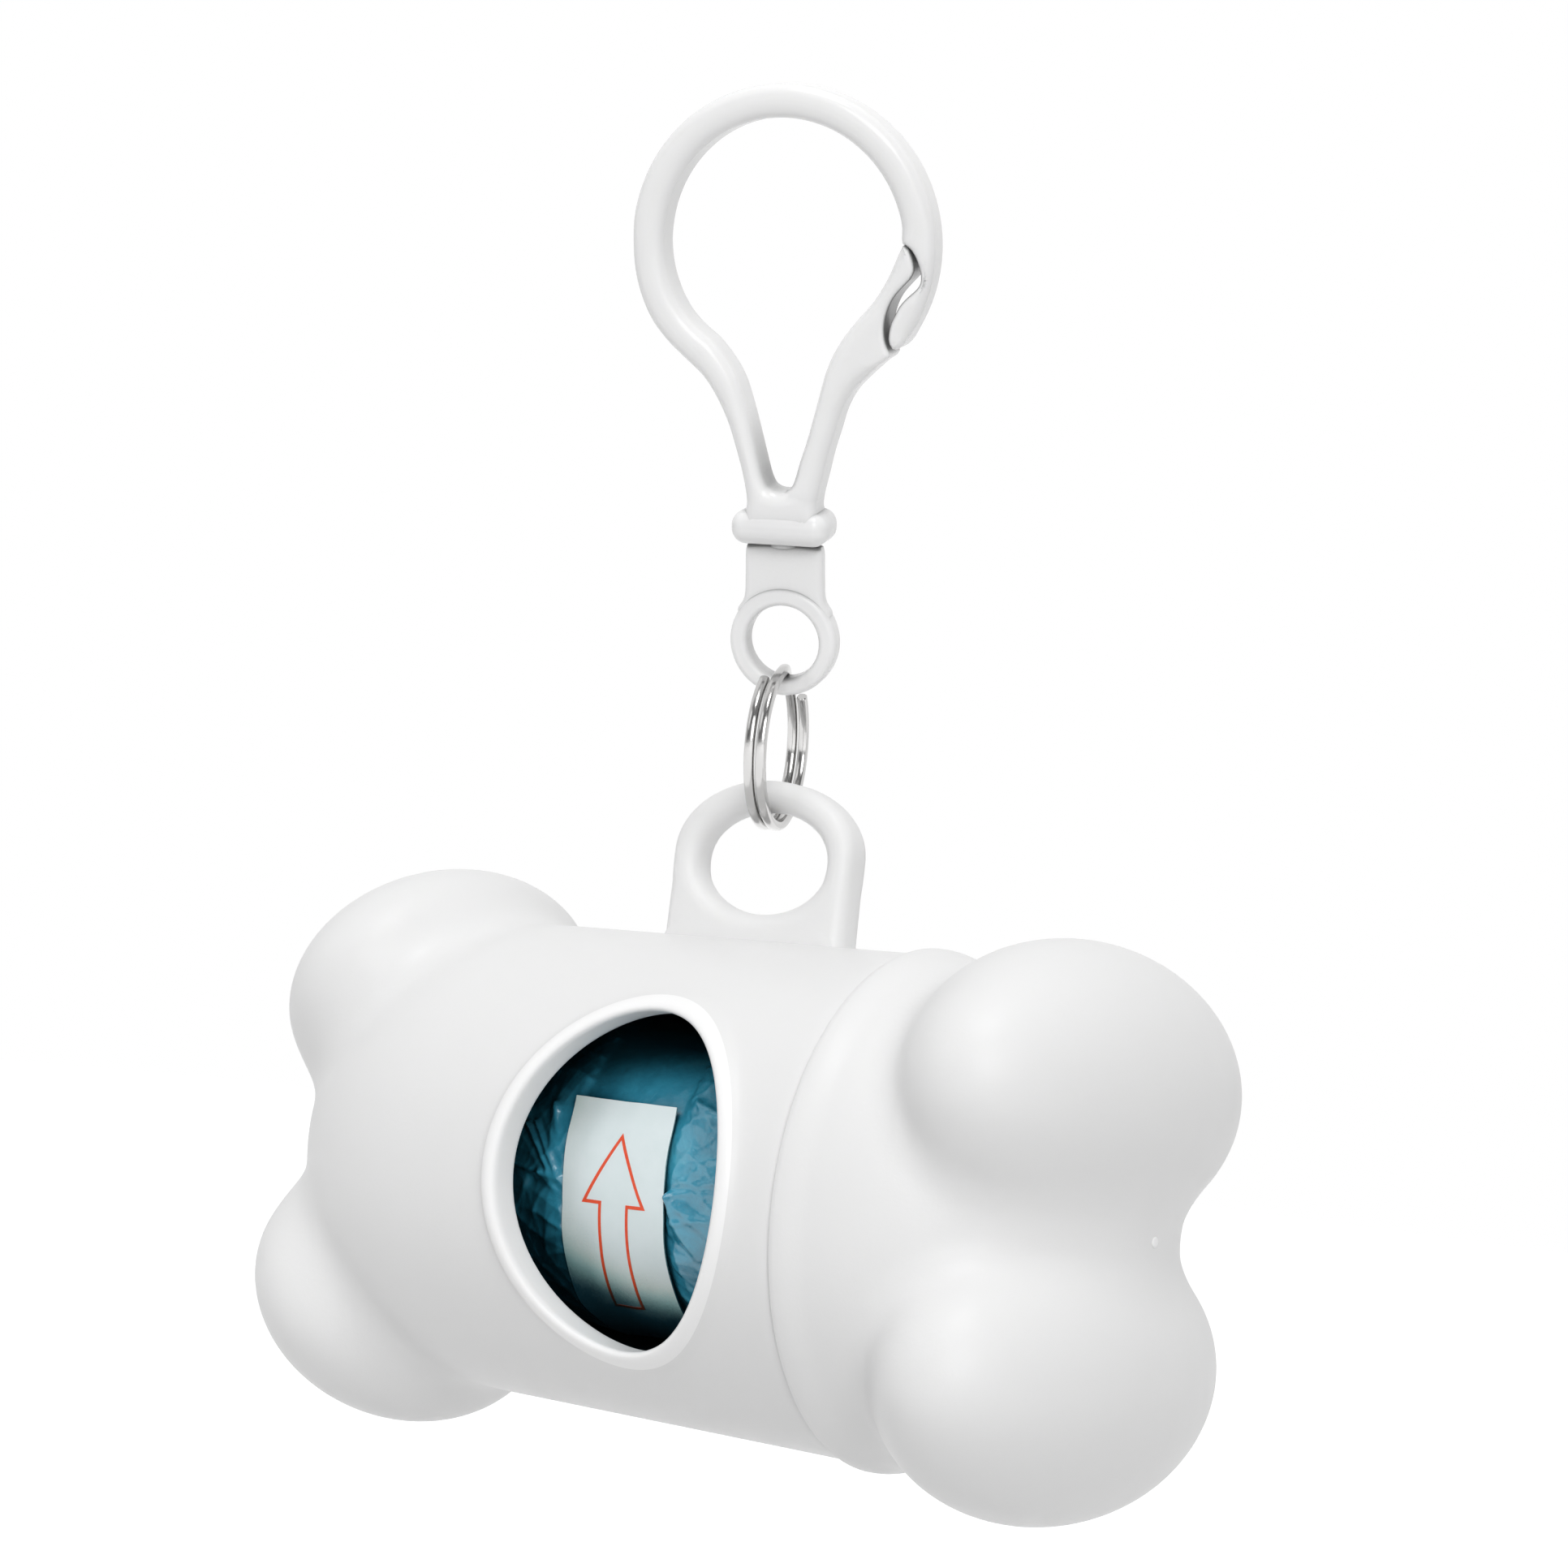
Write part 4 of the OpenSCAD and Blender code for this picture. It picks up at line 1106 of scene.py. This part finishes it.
def world():
    """A soft room, brighter above, in which the camera sees plain white all round the part."""
    sky = bpy.data.worlds.new("studio")
    bpy.context.scene.world = sky
    sky.use_nodes = True
    tree = sky.node_tree
    tree.nodes.clear()
    where = tree.nodes.new("ShaderNodeTexCoord")
    apart = tree.nodes.new("ShaderNodeSeparateXYZ")
    tree.links.new(where.outputs["Generated"], apart.inputs["Vector"])
    room = ramp(tree, apart.outputs["Z"], (0.0, (SKY_SIDE,)), (1.0, (SKY_TOP,)))
    soft = tree.nodes.new("ShaderNodeBackground")
    tree.links.new(room, soft.inputs["Color"])
    white = tree.nodes.new("ShaderNodeBackground")
    # The room on the camera's side stays dim in reflections, so that polished metal has contrast
    toward = tree.nodes.new("ShaderNodeVectorMath")
    toward.operation = "DOT_PRODUCT"
    toward.inputs[1].default_value = (0.56, -0.82, 0.0)
    tree.links.new(where.outputs["Generated"], toward.inputs[0])
    dim = ramp(tree, toward.outputs["Value"], (0.1, (1.0,)), (0.45, (0.3,)), (0.8, (0.16,)), (0.97, (0.55,)))
    path = tree.nodes.new("ShaderNodeLightPath")
    tree.links.new(greater(tree, dim, path.outputs["Is Camera Ray"]), white.inputs["Color"])
    shown = see_through(tree, soft.outputs["Background"], white.outputs["Background"])
    tree.links.new(shown, tree.nodes.new("ShaderNodeOutputWorld").inputs["Surface"])


def floor():
    """A plain pale floor below the hanging part."""
    mesh = bpy.data.meshes.new("floor")
    corners = [(x * FLOOR_HALF, y * FLOOR_HALF, FLOOR_Z) for x, y in ((-1, -1), (1, -1), (1, 1), (-1, 1))]
    mesh.from_pydata(corners, [], [(0, 1, 2, 3)])
    ground = add_object("floor", mesh)
    material, tree, shader = new_material("floor_pale", (0.62, 0.62, 0.62), 0.9)
    bump(tree, shader, noise(tree, 60, 2), 0.02, 0.001)
    glow = tree.nodes.new("ShaderNodeEmission")
    both = tree.nodes.new("ShaderNodeAddShader")
    glow.inputs["Strength"].default_value = FLOOR_GLOW
    tree.links.new(shader.outputs["BSDF"], both.inputs[0])
    tree.links.new(glow.outputs["Emission"], both.inputs[1])
    shown = see_through(tree, shader.outputs["BSDF"], both.outputs["Shader"])
    tree.links.new(shown, tree.nodes["Material Output"].inputs["Surface"])
    mesh.materials.append(material)


camera()
world()
floor()
# Each lamp: the way to it from the middle of the part, its size and its power in watts
area_light("key", (0.2, -0.48, 0.84), 0.3, 2.1)
area_light("front", (0.62, -0.78, 0.3), 0.5, 3.2)
area_light("side", (-0.3, -0.85, 0.45), 0.4, 0.5)
bpy.context.scene.view_settings.view_transform = "Standard"
